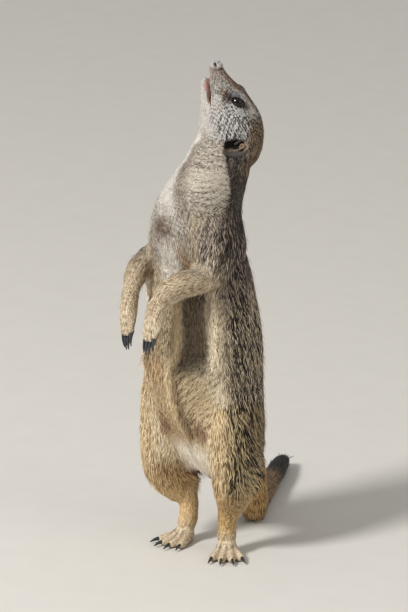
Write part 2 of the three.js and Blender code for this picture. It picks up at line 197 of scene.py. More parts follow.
def spline(points, t):
    """Uniform Catmull-Rom curve through the points at each t from 0 to 1."""
    points = np.asarray(points, float)
    spans = len(points) - 1
    padded = np.vstack([2 * points[0] - points[1], points, 2 * points[-1] - points[-2]])
    place = np.clip(t, 0, 1) * spans
    first = np.minimum(place.astype(int), spans - 1)
    f = (place - first)[:, None]
    a, b, c, d = (padded[first + k] for k in range(4))
    return 0.5 * (2 * b + (c - a) * f + (2 * a - 5 * b + 4 * c - d) * f**2
                  + (3 * b - a - 3 * c + d) * f**3)


def ripple(points, wavelength, seed):
    """A smooth random field, mostly between -1 and 1: 2.2 times the mean of eight sine waves in
    random directions."""
    rng = np.random.default_rng(seed)
    waves = unit(rng.normal(size=(8, 3))) * (2 * np.pi / wavelength)
    waves *= rng.uniform(0.7, 1.4, (8, 1))
    return np.sin(points @ waves.T + rng.uniform(0, 2 * np.pi, 8)).mean(1) * 2.2


# ---- limbs: an oval section carried along a smooth path ----
class Limb:
    """A line through stations, with half-sizes less the coat's depth, the length of the dome at
    each end, the direction of the width at both ends, and the hair's way along it."""

    def __init__(self, name, stations, ends=(8, 8), coat=1.0, way=1, across=(X, X), head=False):
        stations = np.asarray(stations, float)
        self.name, self.ends, self.way = name, ends, way
        coat = np.resize(coat, len(stations)) if np.ndim(coat) == 0 else np.asarray(coat, float)
        self.points = on_head(stations[:, :3]) if head else stations[:, :3]
        self.across = (HEAD_AXES[:, 0],) * 2 if head else across
        self.girth = np.maximum(stations[:, 3:] - coat[:, None], 0.3)

    def sections(self, along):
        """Centres, tangents, width and depth directions, and half-sizes, at shares of the length."""
        fine = np.linspace(0, 1, 300)
        steps = np.linalg.norm(np.diff(spline(self.points, fine), axis=0), axis=1)
        reach = np.concatenate([[0], np.cumsum(steps)])
        t = np.interp(along * reach[-1], reach, fine)
        ahead = unit(spline(self.points, t + 1e-3) - spline(self.points, t - 1e-3))
        turned = self.across[0] + (self.across[1] - self.across[0]) * along[:, None]
        deep = unit(np.cross(ahead, turned))
        wide = np.cross(deep, ahead)
        return spline(self.points, t), ahead, wide, deep, spline(self.girth, t), reach[-1]

    def shell(self, sides, rings):
        """Closed surface: each section's half-sizes times a quarter-circle dome near both ends."""
        along = (1 - np.cos(np.pi * np.arange(rings + 1) / rings)) / 2
        centre, _, wide, deep, girth, length = self.sections(along)
        away = np.minimum(1, along * length / self.ends[0])
        back = np.minimum(1, (1 - along) * length / self.ends[1])
        dome = np.sqrt(1 - (1 - away) ** 2) * np.sqrt(1 - (1 - back) ** 2)
        angle = 2 * np.pi * np.arange(sides) / sides
        radii = girth * dome[:, None]
        ring = (centre[:, None] + np.cos(angle)[None, :, None] * (wide * radii[:, :1])[:, None]
                + np.sin(angle)[None, :, None] * (deep * radii[:, 1:])[:, None])
        points = np.vstack([centre[:1], ring[1:-1].reshape(-1, 3), centre[-1:]])
        return points, *tube_faces(rings - 1, sides)


def tube_faces(count, sides):
    """Quads between `count` rings of vertices 1, 2, ... and triangles to a pole at each end."""
    ring = 1 + np.arange(count)[:, None] * sides + np.arange(sides)[None]
    after = np.roll(ring, -1, 1)
    quads = np.stack([ring[:-1], after[:-1], after[1:], ring[1:]], -1).reshape(-1, 4)
    first = np.stack([np.zeros(sides, int), after[0], ring[0]], -1)
    last = np.stack([np.full(sides, count * sides + 1), ring[-1], after[-1]], -1)
    return quads, np.vstack([first, last])


def mirrored(stations, side, about=0.0):
    """The stations mirrored across the plane x = about where side is -1."""
    out = np.array(stations, float)
    out[:, 0] = about + side * (out[:, 0] - about)
    return out


def finger_limbs(side):
    """The four fingers and, for each, its claw's root, direction, side to curl to and size."""
    hand = np.array(ARMS[side]["hand"], float)
    knuckles = hand[-1, :3]
    down = unit(knuckles - hand[-2, :3])
    row = unit(KNUCKLE_ROW)
    fingers, claws = [], []
    for digit in range(DIGITS):
        place = digit - (DIGITS - 1) / 2
        reach = INNER_FINGER if abs(place) < 1 else OUTER_FINGER
        root = knuckles - 4 * down + place * hand[-1, 3] * FINGER_PITCH * row
        bend = root + reach * down - 0.8 * Y
        end = root + (reach + 4) * down
        fingers.append([[*root, 2.1, 2.8], [*bend, 2, 2.6], [*end, 1.7, 2]])
        ahead = unit(down - np.array([CLAW_SPREAD * place, CLAW_FORWARD, 0]))
        claws.append((end - 2 * ahead, ahead, Y, FINGER_CLAW))
    return fingers, claws


def toe_limbs(side):
    """The shin, the ball of the foot and the way across it, four spread toes, and for each toe its
    claw's root, direction, side to curl to and size."""
    foot = FEET[side]
    hand, aim = foot["side"], foot["side"] * np.radians(foot["aim"])

    def heading(angle):
        return (np.array([np.sin(angle), -np.cos(angle), 0]),
                np.array([np.cos(angle), np.sin(angle), 0]))

    ahead, across = heading(aim)

    def spot(forward, sideways, height):
        return np.array([*foot["ball"], height]) + forward * ahead + sideways * across

    shin = [[*foot["ankle"], 7.2, 7.8], [*foot["instep"], 6.8, 7], [*spot(0, 0, 7), 7.4, 7.4]]
    pad = [[*spot(-7, 0, 5.6), 6.6, 7], [*spot(1, 0, 5), 8.6, 6.6], [*spot(8, 0, 3.6), 9.2, 5.2]]
    toes, claws = [], []
    for digit in range(DIGITS):
        place = (digit - (DIGITS - 1) / 2) * hand
        reach = TOE_LENGTH * (1 if abs(place) < 1 else OUTER_TOE)
        out, level = heading(aim + place * TOE_FAN)
        start = spot(3, place * TOE_PITCH, 4.4)
        knuckle = start + out * reach * 0.45
        knuckle[2] = 2.6
        end = start + out * (reach - 5)
        end[2] = 1.9
        toes.append(([[*start, 3, 3.6], [*knuckle, 2.8, 3.3], [*end, 2.3, 2.8]], level))
        root = end - 0.4 * out
        root[2] = 3
        claws.append((root, out, -Z, TOE_CLAW))
    return shin, pad, across, toes, claws


def all_limbs():
    """Every fleshy part as a Limb; `way` is -1 where the hair runs from the last station to the first."""
    limbs = [
        Limb("torso", TORSO, (14, 10), TORSO_COAT, -1),
        Limb("skull", SKULL, (12, 5), SKULL_COAT, -1, head=True),
        Limb("jaw", LOWER_JAW, (8, 3.5), 0.4, -1, head=True),
        Limb("tail", TAIL, (6, 5), 2.2),
    ]
    for side, hand in (("left", 1), ("right", -1)):
        limbs += [
            Limb("brow", mirrored(BROW, hand), (4, 6), 0.5, -1, head=True),
            Limb("cheek", mirrored(CHEEK_PAD, hand), (6, 8), 0.8, -1, head=True),
            Limb("upper_arm", ARMS[side]["upper"], (12, 9), [4.5, 3, 1.4]),
            Limb("torso", mirrored(ARMPIT_FOLD, hand, MIDLINE), (9, 9), 0.6),
            Limb("forearm", ARMS[side]["fore"], (10, 5), [1.4, 1.0, 0.8, 0.6]),
            Limb("hand", ARMS[side]["hand"], (5, 3), 0.3),
            Limb("leg", LEGS[side], (14, 7), LEG_COAT[-len(LEGS[side]):]),
        ]
        fingers, _ = finger_limbs(side)
        limbs += [Limb("finger", stations, (1.5, 1.8), 0) for stations in fingers]
        shin, pad, across, toes, _ = toe_limbs(side)
        limbs += [Limb("shin", shin, (5, 7), 0.3, across=(X, across)),
                  Limb("ball", pad, (5, 5), 0.2, across=(across, across))]
        limbs += [Limb("toe", stations, (2, 2.4), 0, across=(level, level))
                  for stations, level in toes]
    return limbs


LIMBS = all_limbs()
LIMB_NAMES = np.array([limb.name for limb in LIMBS])


# ---- meshes ----
def mesh_of(name, points, *face_sets):
    """A mesh in metres from an array of points in millimetres and arrays of faces."""
    mesh = bpy.data.meshes.new(name)
    corners = np.concatenate([faces.ravel() for faces in face_sets]).astype(np.int32)
    sizes = np.concatenate([np.full(len(faces), faces.shape[1]) for faces in face_sets])
    starts = np.concatenate([[0], np.cumsum(sizes)[:-1]]).astype(np.int32)
    mesh.vertices.add(len(points))
    mesh.vertices.foreach_set("co", ((points + SHIFT) * METRES).astype(np.float32).ravel())
    mesh.loops.add(len(corners))
    mesh.loops.foreach_set("vertex_index", corners)
    mesh.polygons.add(len(sizes))
    mesh.polygons.foreach_set("loop_start", starts)
    mesh.update(calc_edges=True)
    return mesh


def object_of(name, mesh, material=None, slot=None, *nodes):
    """A smoothly shaded piece at the origin. With a material it rides on the body and stands for the CAD
    nodes named, which it hides. The slot is not used."""
    piece = bpy.data.objects.new(name, mesh)
    bpy.context.scene.collection.objects.link(piece)
    mesh.shade_smooth()
    if material:
        mesh.materials.append(material)
        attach(piece, "root")
        if nodes:
            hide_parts(*nodes)
    return piece


def join_shells(shells):
    """Several (points, quads, triangles) as one set of arrays."""
    points, quads, triangles, start = [], [], [], 0
    for shell_points, shell_quads, shell_triangles in shells:
        points.append(shell_points)
        quads.append(shell_quads + start)
        triangles.append(shell_triangles + start)
        start += len(shell_points)
    return np.vstack(points), np.vstack(quads), np.vstack(triangles)


def read(mesh):
    """Vertex places in millimetres, vertex normals and edges of a mesh."""
    places = np.empty(len(mesh.vertices) * 3, np.float32)
    mesh.vertices.foreach_get("co", places)
    normals = np.empty(len(mesh.vertices) * 3, np.float32)
    mesh.vertex_normals.foreach_get("vector", normals)
    edges = np.empty(len(mesh.edges) * 2, np.int32)
    mesh.edges.foreach_get("vertices", edges)
    places = places.reshape(-1, 3).astype(float) / METRES - SHIFT
    return places, normals.reshape(-1, 3).astype(float), edges.reshape(-1, 2)


def write(mesh, places):
    """Puts places in millimetres back into the mesh."""
    mesh.vertices.foreach_set("co", ((places + SHIFT) * METRES).astype(np.float32).ravel())
    mesh.update()


def relax(values, edges, rounds, share):
    """Moves each value `share` of the way to the mean of its neighbours, `rounds` times."""
    count = len(values)
    ends = np.concatenate([edges[:, 0], edges[:, 1]])
    others = np.concatenate([edges[:, 1], edges[:, 0]])
    degree = np.maximum(np.bincount(ends, minlength=count), 1)[:, None]
    for _ in range(rounds):
        total = np.stack([np.bincount(ends, values[others, k], count)
                          for k in range(values.shape[1])], 1)
        values = values + share * (total / degree - values)
    return values


def even(values, edges, rounds):
    """Smooths without shrinking: each round of relaxing is followed by one slightly larger step back."""
    for _ in range(rounds):
        values = relax(relax(values, edges, 1, 0.5), edges, 1, -0.52)
    return values


def finished(piece):
    """The piece's mesh with its modifiers applied."""
    graph = bpy.context.evaluated_depsgraph_get()
    mesh = bpy.data.meshes.new_from_object(piece.evaluated_get(graph))
    old = piece.data
    piece.modifiers.clear()
    piece.data = mesh
    bpy.data.meshes.remove(old)
    return mesh


def nearest_limbs(points):
    """For each point and limb: the distance from the limb's line in its own half-sizes, and the
    place along it, with the way ahead at every place of every limb.

    The offset from the nearest of the sections is divided by the half-width, the half-depth and
    their mean along the limb, and the distance is the length of that vector."""
    along = np.linspace(0.01, 0.99, SECTIONS)
    out = np.empty((len(points), len(LIMBS)))
    places = np.empty((len(points), len(LIMBS)), int)
    tangents = []
    for k, limb in enumerate(LIMBS):
        centre, ahead, wide, deep, girth, _ = limb.sections(along)
        size = np.maximum(girth, 0.4)
        tangents.append(ahead)
        place = np.argmin(squared_spans(points, centre) / size.prod(1)[None], 1)
        offset = points - centre[place]
        out[:, k] = np.sqrt((dots(offset, wide[place]) / size[place, 0]) ** 2
                            + (dots(offset, deep[place]) / size[place, 1]) ** 2
                            + (dots(offset, ahead[place]) / size[place].mean(1)) ** 2)
        places[:, k] = place
    return out, places, tangents


# ---- the skin ----
def eye_frame(side):
    """The eye's centre, the way it looks, and the long and short ways of the slit between the lids."""
    centre = EYE_SEAT * [side, 1, 1]
    gaze = unit(np.array([side * 0.9, 0.16, 0.18]))
    long_way = unit(np.cross(np.cross(gaze, np.array([0, 0.86, -0.5])), gaze))
    return centre, gaze, long_way, np.cross(gaze, long_way)


LID_HALVES = np.array([4.3, 2.5]) / EYE_RADIUS
LID_HEIGHT = 0.45
MOUTH_LINE = np.array([[31, -16.8, 0.3], [36, -17.2, 0.6], [41, -17.6, 0.8],
                       [46, -18.1, 0.9], [52, -18.6, 1.1]])


def from_slit(head, side):
    """Distance from the middle of the slit between the lids in half-sizes of the slit, seen from
    the eye's centre, with the distance and the direction from that centre."""
    centre, gaze, long_way, short_way = eye_frame(side)
    offset = head - centre
    away = np.linalg.norm(offset, axis=1)
    way = offset / np.maximum(away, 1e-6)[:, None]
    m = np.hypot(way @ long_way / LID_HALVES[0], way @ short_way / LID_HALVES[1])
    return np.where((way @ gaze > 0.05) & (away < 11), m, 9), away, way


def lids(head):
    """Skin round each eye, by its distance m from the slit: inside m = 1 it sinks behind the
    eyeball, just outside it rises to the lid's edge, and further out it settles onto the face."""
    for side in (1, -1):
        m, away, way = from_slit(head, side)
        lid = ease(2.0, 1.2, m)
        radius = away + lid * (EYE_RADIUS + LID_HEIGHT - away)
        radius = radius - 0.35 * hill(m, 1.7, 0.2)
        radius = np.where(m < 1.06, EYE_RADIUS - 1.6, radius)
        head = np.where((m < 9)[:, None], EYE_SEAT * [side, 1, 1] + way * radius[:, None], head)
    return head


EAR_MIDDLE = np.array([22.4, 0, 5.8])
EAR_HALVES = np.array([9.2, 7.2])
EAR_DEPTH = 12


def ear_ovals(head):
    """How far inside the oval round an ear each point is: 1 in its middle, 0 on and beyond its edge."""
    inside = np.zeros(len(head))
    for side in (1, -1):
        offset = (head - (EAR_MIDDLE + [0, 0, 0.2]) * [side, 1, 1]) / [EAR_DEPTH, *EAR_HALVES]
        inside = np.maximum(inside, 1 - (offset**2).sum(1))
    return inside


def ear_pits(head):
    """Skin inside the oval round each ear sinks steeply to make room for the ear's cup."""
    inside = np.clip(ear_ovals(head), 0, 1)
    return head - np.outer(9 * inside**0.6 * (1 - 0.3 * inside), X) * np.sign(head[:, :1])


def mouth(head):
    """The slit between the lips: a band round the mouth's line is drawn in towards the midline."""
    line = np.interp(head[:, 2], MOUTH_LINE[:, 0], MOUTH_LINE[:, 1])
    half = np.interp(head[:, 2], MOUTH_LINE[:, 0], MOUTH_LINE[:, 2])
    inside = ease(1.15, 0.7, np.abs(head[:, 1] - line) / half) * ease(30, 34, head[:, 2])
    drawn = head * [0.72, 1, 1]
    return head + inside[:, None] * (drawn - head), inside


def around(points, stations):
    """The angle of each point about a limb's upright line: -90 in front, 0 at the side, 90 behind."""
    rows = np.asarray(stations, float)
    rows = rows[np.argsort(rows[:, 2])]
    x = np.interp(points[:, 2], rows[:, 2], rows[:, 0])
    y = np.interp(points[:, 2], rows[:, 2], rows[:, 1])
    return np.degrees(np.arctan2(points[:, 1] - y, np.abs(points[:, 0] - x)))


def around_legs(points):
    """The angle about the leg on the point's own side of the midline."""
    return np.where(points[:, 0] > MIDLINE, around(points, LEGS["left"]), around(points, LEGS["right"]))


def neck_turn(points):
    """The angle about the trunk from the throat's middle line, positive on the animal's left. The
    line turns 45 degrees to the animal's right from the chest to the chin."""
    rows = np.array(TORSO)
    x = points[:, 0] - np.interp(points[:, 2], rows[:, 2], rows[:, 0])
    y = points[:, 1] - np.interp(points[:, 2], rows[:, 2], rows[:, 1])
    turned = np.degrees(np.arctan2(y, x)) + 90 + 45 * ease(232, 284, points[:, 2])
    return (turned + 180) % 360 - 180


def neck_edge(z):
    """How far round from the throat's middle line the loose pale skin of the neck reaches."""
    return np.interp(z, [249, 263, 270, 278, 286], [100, 107, 105, 103, 96])


def loose_skin(points):
    """1 on the loose pale skin at the sides of the neck, 0 off it."""
    turn = np.abs(neck_turn(points))
    return (ease(3, -2, turn - neck_edge(points[:, 2])) * ease(240, 258, points[:, 2])
            * ease(302, 292, points[:, 2]))


def ridge_angle(z):
    """Where the fold of skin in front of the left flank runs, as an angle about the trunk."""
    return -67 - 13 * ease(160, 135, z) - 6 * ease(90, 76, z)


def hollows(points, normals, torso):
    """The lean belly and neck: a deep hollow behind the fold in front of the left flank, shallow
    ones lower down and on the right, a keel on the throat, and the edge of the loose neck skin."""
    angle, z = around(points, TORSO), points[:, 2]
    left = ease(0, 4, points[:, 0] - MIDLINE)
    past = angle - ridge_angle(z)
    flank = ease(0, 6, past) * ease(-30, -42, angle) * ease(140, 152, z) * ease(214, 204, z)
    groin = ease(0, 5, past) * ease(-20, -52, angle) * hill(z, 112, 26)
    fold = hill(past, -2.5, 3.6) * ease(74, 90, z) * ease(205, 190, z)
    turn = np.abs(neck_turn(points))
    keel = hill(turn, 0, 12) * ease(225, 245, z) * ease(300, 280, z)
    loose = loose_skin(points) * ease(25, 60, turn)
    shift = (-8.5 * flank * (0.25 + 0.75 * left) - 3.2 * groin * left + 2 * fold * left + 0.4 * keel
             + 1.9 * loose)
    return points + normals * (shift * torso)[:, None]


def fused():
    """The limbs' shells fused into one mesh on a fine grid, evened out, and thinned to half its
    faces, which are taken where the form is plain."""
    shells = [limb.shell(*(BROAD_GRID if limb.girth.max() > BROAD_LIMB else SMALL_GRID))
              for limb in LIMBS]
    piece = object_of("skin", mesh_of("skin", *join_shells(shells)))
    remesh = piece.modifiers.new("fuse", "REMESH")
    remesh.mode = "VOXEL"
    remesh.voxel_size = VOXEL * METRES
    mesh = finished(piece)
    points, _, edges = read(mesh)
    out, _, _ = nearest_limbs(points)
    plain = np.flatnonzero(~np.isin(LIMB_NAMES[np.argmin(out, 1)], FINE_LIMBS))
    write(mesh, even(points, edges, 8))
    group = piece.vertex_groups.new(name="plain")
    group.add(plain.tolist(), 1.0, "REPLACE")
    thin = piece.modifiers.new("thin", "DECIMATE")
    thin.ratio = 0.5
    thin.vertex_group = group.name
    return piece, finished(piece)


def smooth_joins(mesh):
    """Relaxes the skin where two limbs are nearly equally near, and at the back of the neck's bend."""
    points, _, edges = read(mesh)
    out, _, _ = nearest_limbs(points)
    for others, rounds in ((["leg", "tail"], 150), (["upper_arm", "skull"], 45)):
        big = np.sort(out[:, np.isin(LIMB_NAMES, ["torso"] + others)], 1)
        meeting = hill(big[:, 1] - big[:, 0], 0, 0.5) * (points[:, 2] > 40)
        points = relax(points, edges, rounds, 0.6 * meeting[:, None])
    bend = hill(points[:, 2], 242, 13) * ease(10, 45, around(points, TORSO))
    points = relax(points, edges, 110, 0.6 * bend[:, None])
    small = np.sort(out[:, np.isin(LIMB_NAMES, ["forearm", "hand", "shin", "ball", "leg"])], 1)
    meeting = hill(small[:, 1] - small[:, 0], 0, 0.45) * (small[:, 0] < 1.6)
    write(mesh, relax(points, edges, 45, 0.6 * meeting[:, None]))


def skin_surface():
    """One closed skin: fused limbs with smooth joins, and then hollows, ear pits, lids and lips. The
    second value is 1 between the lips."""
    piece, mesh = fused()
    smooth_joins(mesh)
    refine(mesh)
    points, normals, edges = read(mesh)
    out, _, _ = nearest_limbs(points)
    body = LIMB_NAMES == "torso"
    torso = out[:, body].min(1) < out[:, ~body].min(1) + 0.1
    torso = relax(torso.astype(float)[:, None], edges, 10, 0.5)[:, 0]
    points = hollows(points, normals, torso)
    head = to_head(points)
    near = (head[:, 2] > -20) & (np.linalg.norm(head, axis=1) < 75)
    shaped, inside = mouth(lids(ear_pits(head[near])))
    points[near] = on_head(shaped)
    points[:, 2] = np.maximum(points[:, 2], 0)
    write(mesh, points)
    lips = np.zeros(len(points))
    lips[near] = inside
    return piece, lips


def refine(mesh):
    """Cuts the faces round the eyes, lips and nose in four, for their fine forms."""
    points, _, edges = read(mesh)
    head = to_head(points)
    near_eye = np.minimum(*(np.linalg.norm(head - EYE_SEAT * [s, 1, 1], axis=1) for s in (1, -1)))
    line = np.interp(head[:, 2], MOUTH_LINE[:, 0], MOUTH_LINE[:, 1])
    near_lip = (np.abs(head[:, 1] - line) < 4) & (head[:, 2] > 28) & (head[:, 2] < 62)
    chosen = (near_eye < 9.5) | near_lip
    work = bmesh.new()
    work.from_mesh(mesh)
    work.edges.ensure_lookup_table()
    cut = [work.edges[k] for k in np.flatnonzero(chosen[edges].all(1))]
    bmesh.ops.subdivide_edges(work, edges=cut, cuts=1, use_grid_fill=True)
    bmesh.ops.triangulate(work, faces=work.faces)
    work.to_mesh(mesh)
    work.free()
    mesh.update()


# ---- colour and materials ----
def linear(code):
    """sRGB hex text as linear red, green and blue."""
    value = np.array([int(code[k:k + 2], 16) / 255 for k in (0, 2, 4)])
    return np.where(value <= 0.04045, value / 12.92, ((value + 0.055) / 1.055) ** 2.4)


def rgba(code):
    """sRGB hex text as the four numbers of a colour socket."""
    return (*linear(code), 1.0)


def add(tree, kind, settings=None, **links):
    """A node of that kind. settings are its properties, and the links and values of its sockets go
    by socket name, with spaces as underscores, or by s and the socket's number."""
    node = tree.nodes.new(kind)
    for key, value in (settings or {}).items():
        setattr(node, key, value)
    for key, value in links.items():
        socket = node.inputs[int(key[1:]) if key[0] == "s" and key[1:].isdigit() else key.replace("_", " ")]
        if isinstance(value, bpy.types.NodeSocket):
            tree.links.new(value, socket)
        else:
            socket.default_value = value
    return node


def material(name, **shader):
    """A material with one Principled shader, and its tree."""
    made = bpy.data.materials.new(name)
    made.use_nodes = True
    tree = made.node_tree
    tree.nodes.clear()
    surface = add(tree, "ShaderNodeBsdfPrincipled", None, **shader)
    add(tree, "ShaderNodeOutputMaterial", None, Surface=surface.outputs[0])
    return made, tree, surface


def texture(tree, scale, kind="ShaderNodeTexNoise", **more):
    """The value of a noise, or of another kind of texture, on the piece's own coordinates."""
    coords = add(tree, "ShaderNodeTexCoord")
    return add(tree, kind, None, Vector=coords.outputs["Object"], Scale=scale, **more).outputs[0]


def attribute(tree, name, output="Color"):
    """What the mesh carries under that name, as a colour unless another output is named."""
    return add(tree, "ShaderNodeAttribute", {"attribute_name": name}).outputs[output]


def colour_mix(tree, factor, first, second):
    """A colour that goes from the first to the second with the factor."""
    return add(tree, "ShaderNodeMix", {"data_type": "RGBA"}, s0=factor, s6=first, s7=second).outputs[2]


def colour_ramp(tree, factor, stops):
    """A colour read off a ramp through stops, each a place from 0 to 1 and its colour."""
    ramp = add(tree, "ShaderNodeValToRGB", None, Fac=factor)
    elements = ramp.color_ramp.elements
    elements[0].position, elements[0].color = stops[0]
    elements[1].position, elements[1].color = stops[-1]
    for place, colour in stops[1:-1]:
        elements.new(place).color = colour
    return ramp.outputs[0]


def bumped(tree, surface, height, strength, distance):
    """Bump from a height of 0 to 1, `distance` metres deep."""
    bump = add(tree, "ShaderNodeBump", None, Strength=strength, Distance=distance, Height=height)
    tree.links.new(bump.outputs[0], surface.inputs["Normal"])


# ---- floor, lamps and camera ----
FLOOR_SIDES = 96
FLOOR_RADIUS = 6000
LAMP_AIM = np.array([0, 0, 0.18])


def lamp(name, place, size, power):
    """A soft disk lamp at a place in metres, aimed at the middle of the animal."""
    data = bpy.data.lights.new(name, "AREA")
    data.shape, data.size, data.energy = "DISK", size, power
    made = bpy.data.objects.new(name, data)
    made.location = place
    made.rotation_euler = Vector(LAMP_AIM - place).to_track_quat("-Z", "Y").to_euler()
    bpy.context.scene.collection.objects.link(made)


def stage():
    """A plain pale floor, one large soft key lamp, a soft fill and an even pale surround."""
    board, tree, surface = material("matt painted studio floor", Roughness=0.9)
    tone = colour_mix(tree, texture(tree, 40.0), rgba("dcd8d0"), rgba("e2ded7"))
    tree.links.new(tone, surface.inputs["Base Color"])
    angle = 2 * np.pi * np.arange(FLOOR_SIDES) / FLOOR_SIDES
    rim = np.stack([np.cos(angle), np.sin(angle), 0 * angle], 1) * FLOOR_RADIUS
    points = np.vstack([[0, 0, 0], rim]) - SHIFT
    ring = 1 + np.arange(FLOOR_SIDES)
    faces = np.stack([0 * ring, ring, np.roll(ring, -1)], 1)
    floor = bpy.data.objects.new("floor", mesh_of("floor", points, faces))
    floor.data.materials.append(board)
    bpy.context.scene.collection.objects.link(floor)
    lamp("key", np.array([-0.3, -2.35, 2.0]), 0.7, 76)
    lamp("fill", np.array([2.4, 0.2, 1.2]), 1.6, 10)
    world = bpy.data.worlds.new("pale surround")
    world.use_nodes = True
    background = world.node_tree.nodes["Background"]
    background.inputs["Color"].default_value = rgba("f2f1ee")
    background.inputs["Strength"].default_value = 0.45
    bpy.context.scene.world = world
    bpy.context.scene.view_settings.view_transform = "Standard"


CAMERA_AZIMUTH = np.radians(45)
CAMERA_RISE = np.radians(17)
CAMERA_AWAY = 4000
CAMERA_AIM = np.array([0, 0, 175.2])
CAMERA_LENS = 341


def camera():
    """A long lens on the animal's left front, a little above it."""
    towards = np.array([np.sin(CAMERA_AZIMUTH) * np.cos(CAMERA_RISE),
                        -np.cos(CAMERA_AZIMUTH) * np.cos(CAMERA_RISE), np.sin(CAMERA_RISE)])
    data = bpy.data.cameras.new("camera")
    data.lens, data.clip_end = CAMERA_LENS, 30
    view = bpy.data.objects.new("camera", data)
    view.location = (CAMERA_AIM + towards * CAMERA_AWAY + SHIFT) * METRES
    view.rotation_euler = Vector(towards).to_track_quat("Z", "Y").to_euler()
    bpy.context.scene.collection.objects.link(view)
    bpy.context.scene.camera = view


# ---- the coat's colours ----
def tones(count, light, dark):
    """The two hair colours of a plain coat: pale hairs and dark hairs."""
    return np.tile(np.concatenate([linear(light), linear(dark)]), (count, 1))


def layers(colours, *coats):
    """Lays coats one after the other, each a pair of hair colours and its share at every point."""
    for light, dark, share in coats:
        both = np.concatenate([linear(light), linear(dark)])
        colours = colours + share[:, None] * (both - colours)
    return colours


CHEST_FOLD = [(-25, 228), (-14, 214), (-21, 206), (-37, 197)]
BAR_PITCH = 15.5
CREASE_PITCH = 2.3
SWEEP_PITCH = 3.4
EYE_CORNERS = [((-3.9, 3.4), 1.5, 2.4), ((4.6, -1.4), 1.3, 2.2)]


def from_line(across, up, line):
    """Distance of each place (across, up) from a chain of straight pieces."""
    nearest = np.full(np.shape(across), 1e3)
    for (a, b), (c, d) in zip(line, line[1:]):
        t = np.clip(((across - a) * (c - a) + (up - b) * (d - b)) / ((c - a) ** 2 + (d - b) ** 2), 0, 1)
        nearest = np.minimum(nearest, np.hypot(across - a - t * (c - a), up - b - t * (d - b)))
    return nearest


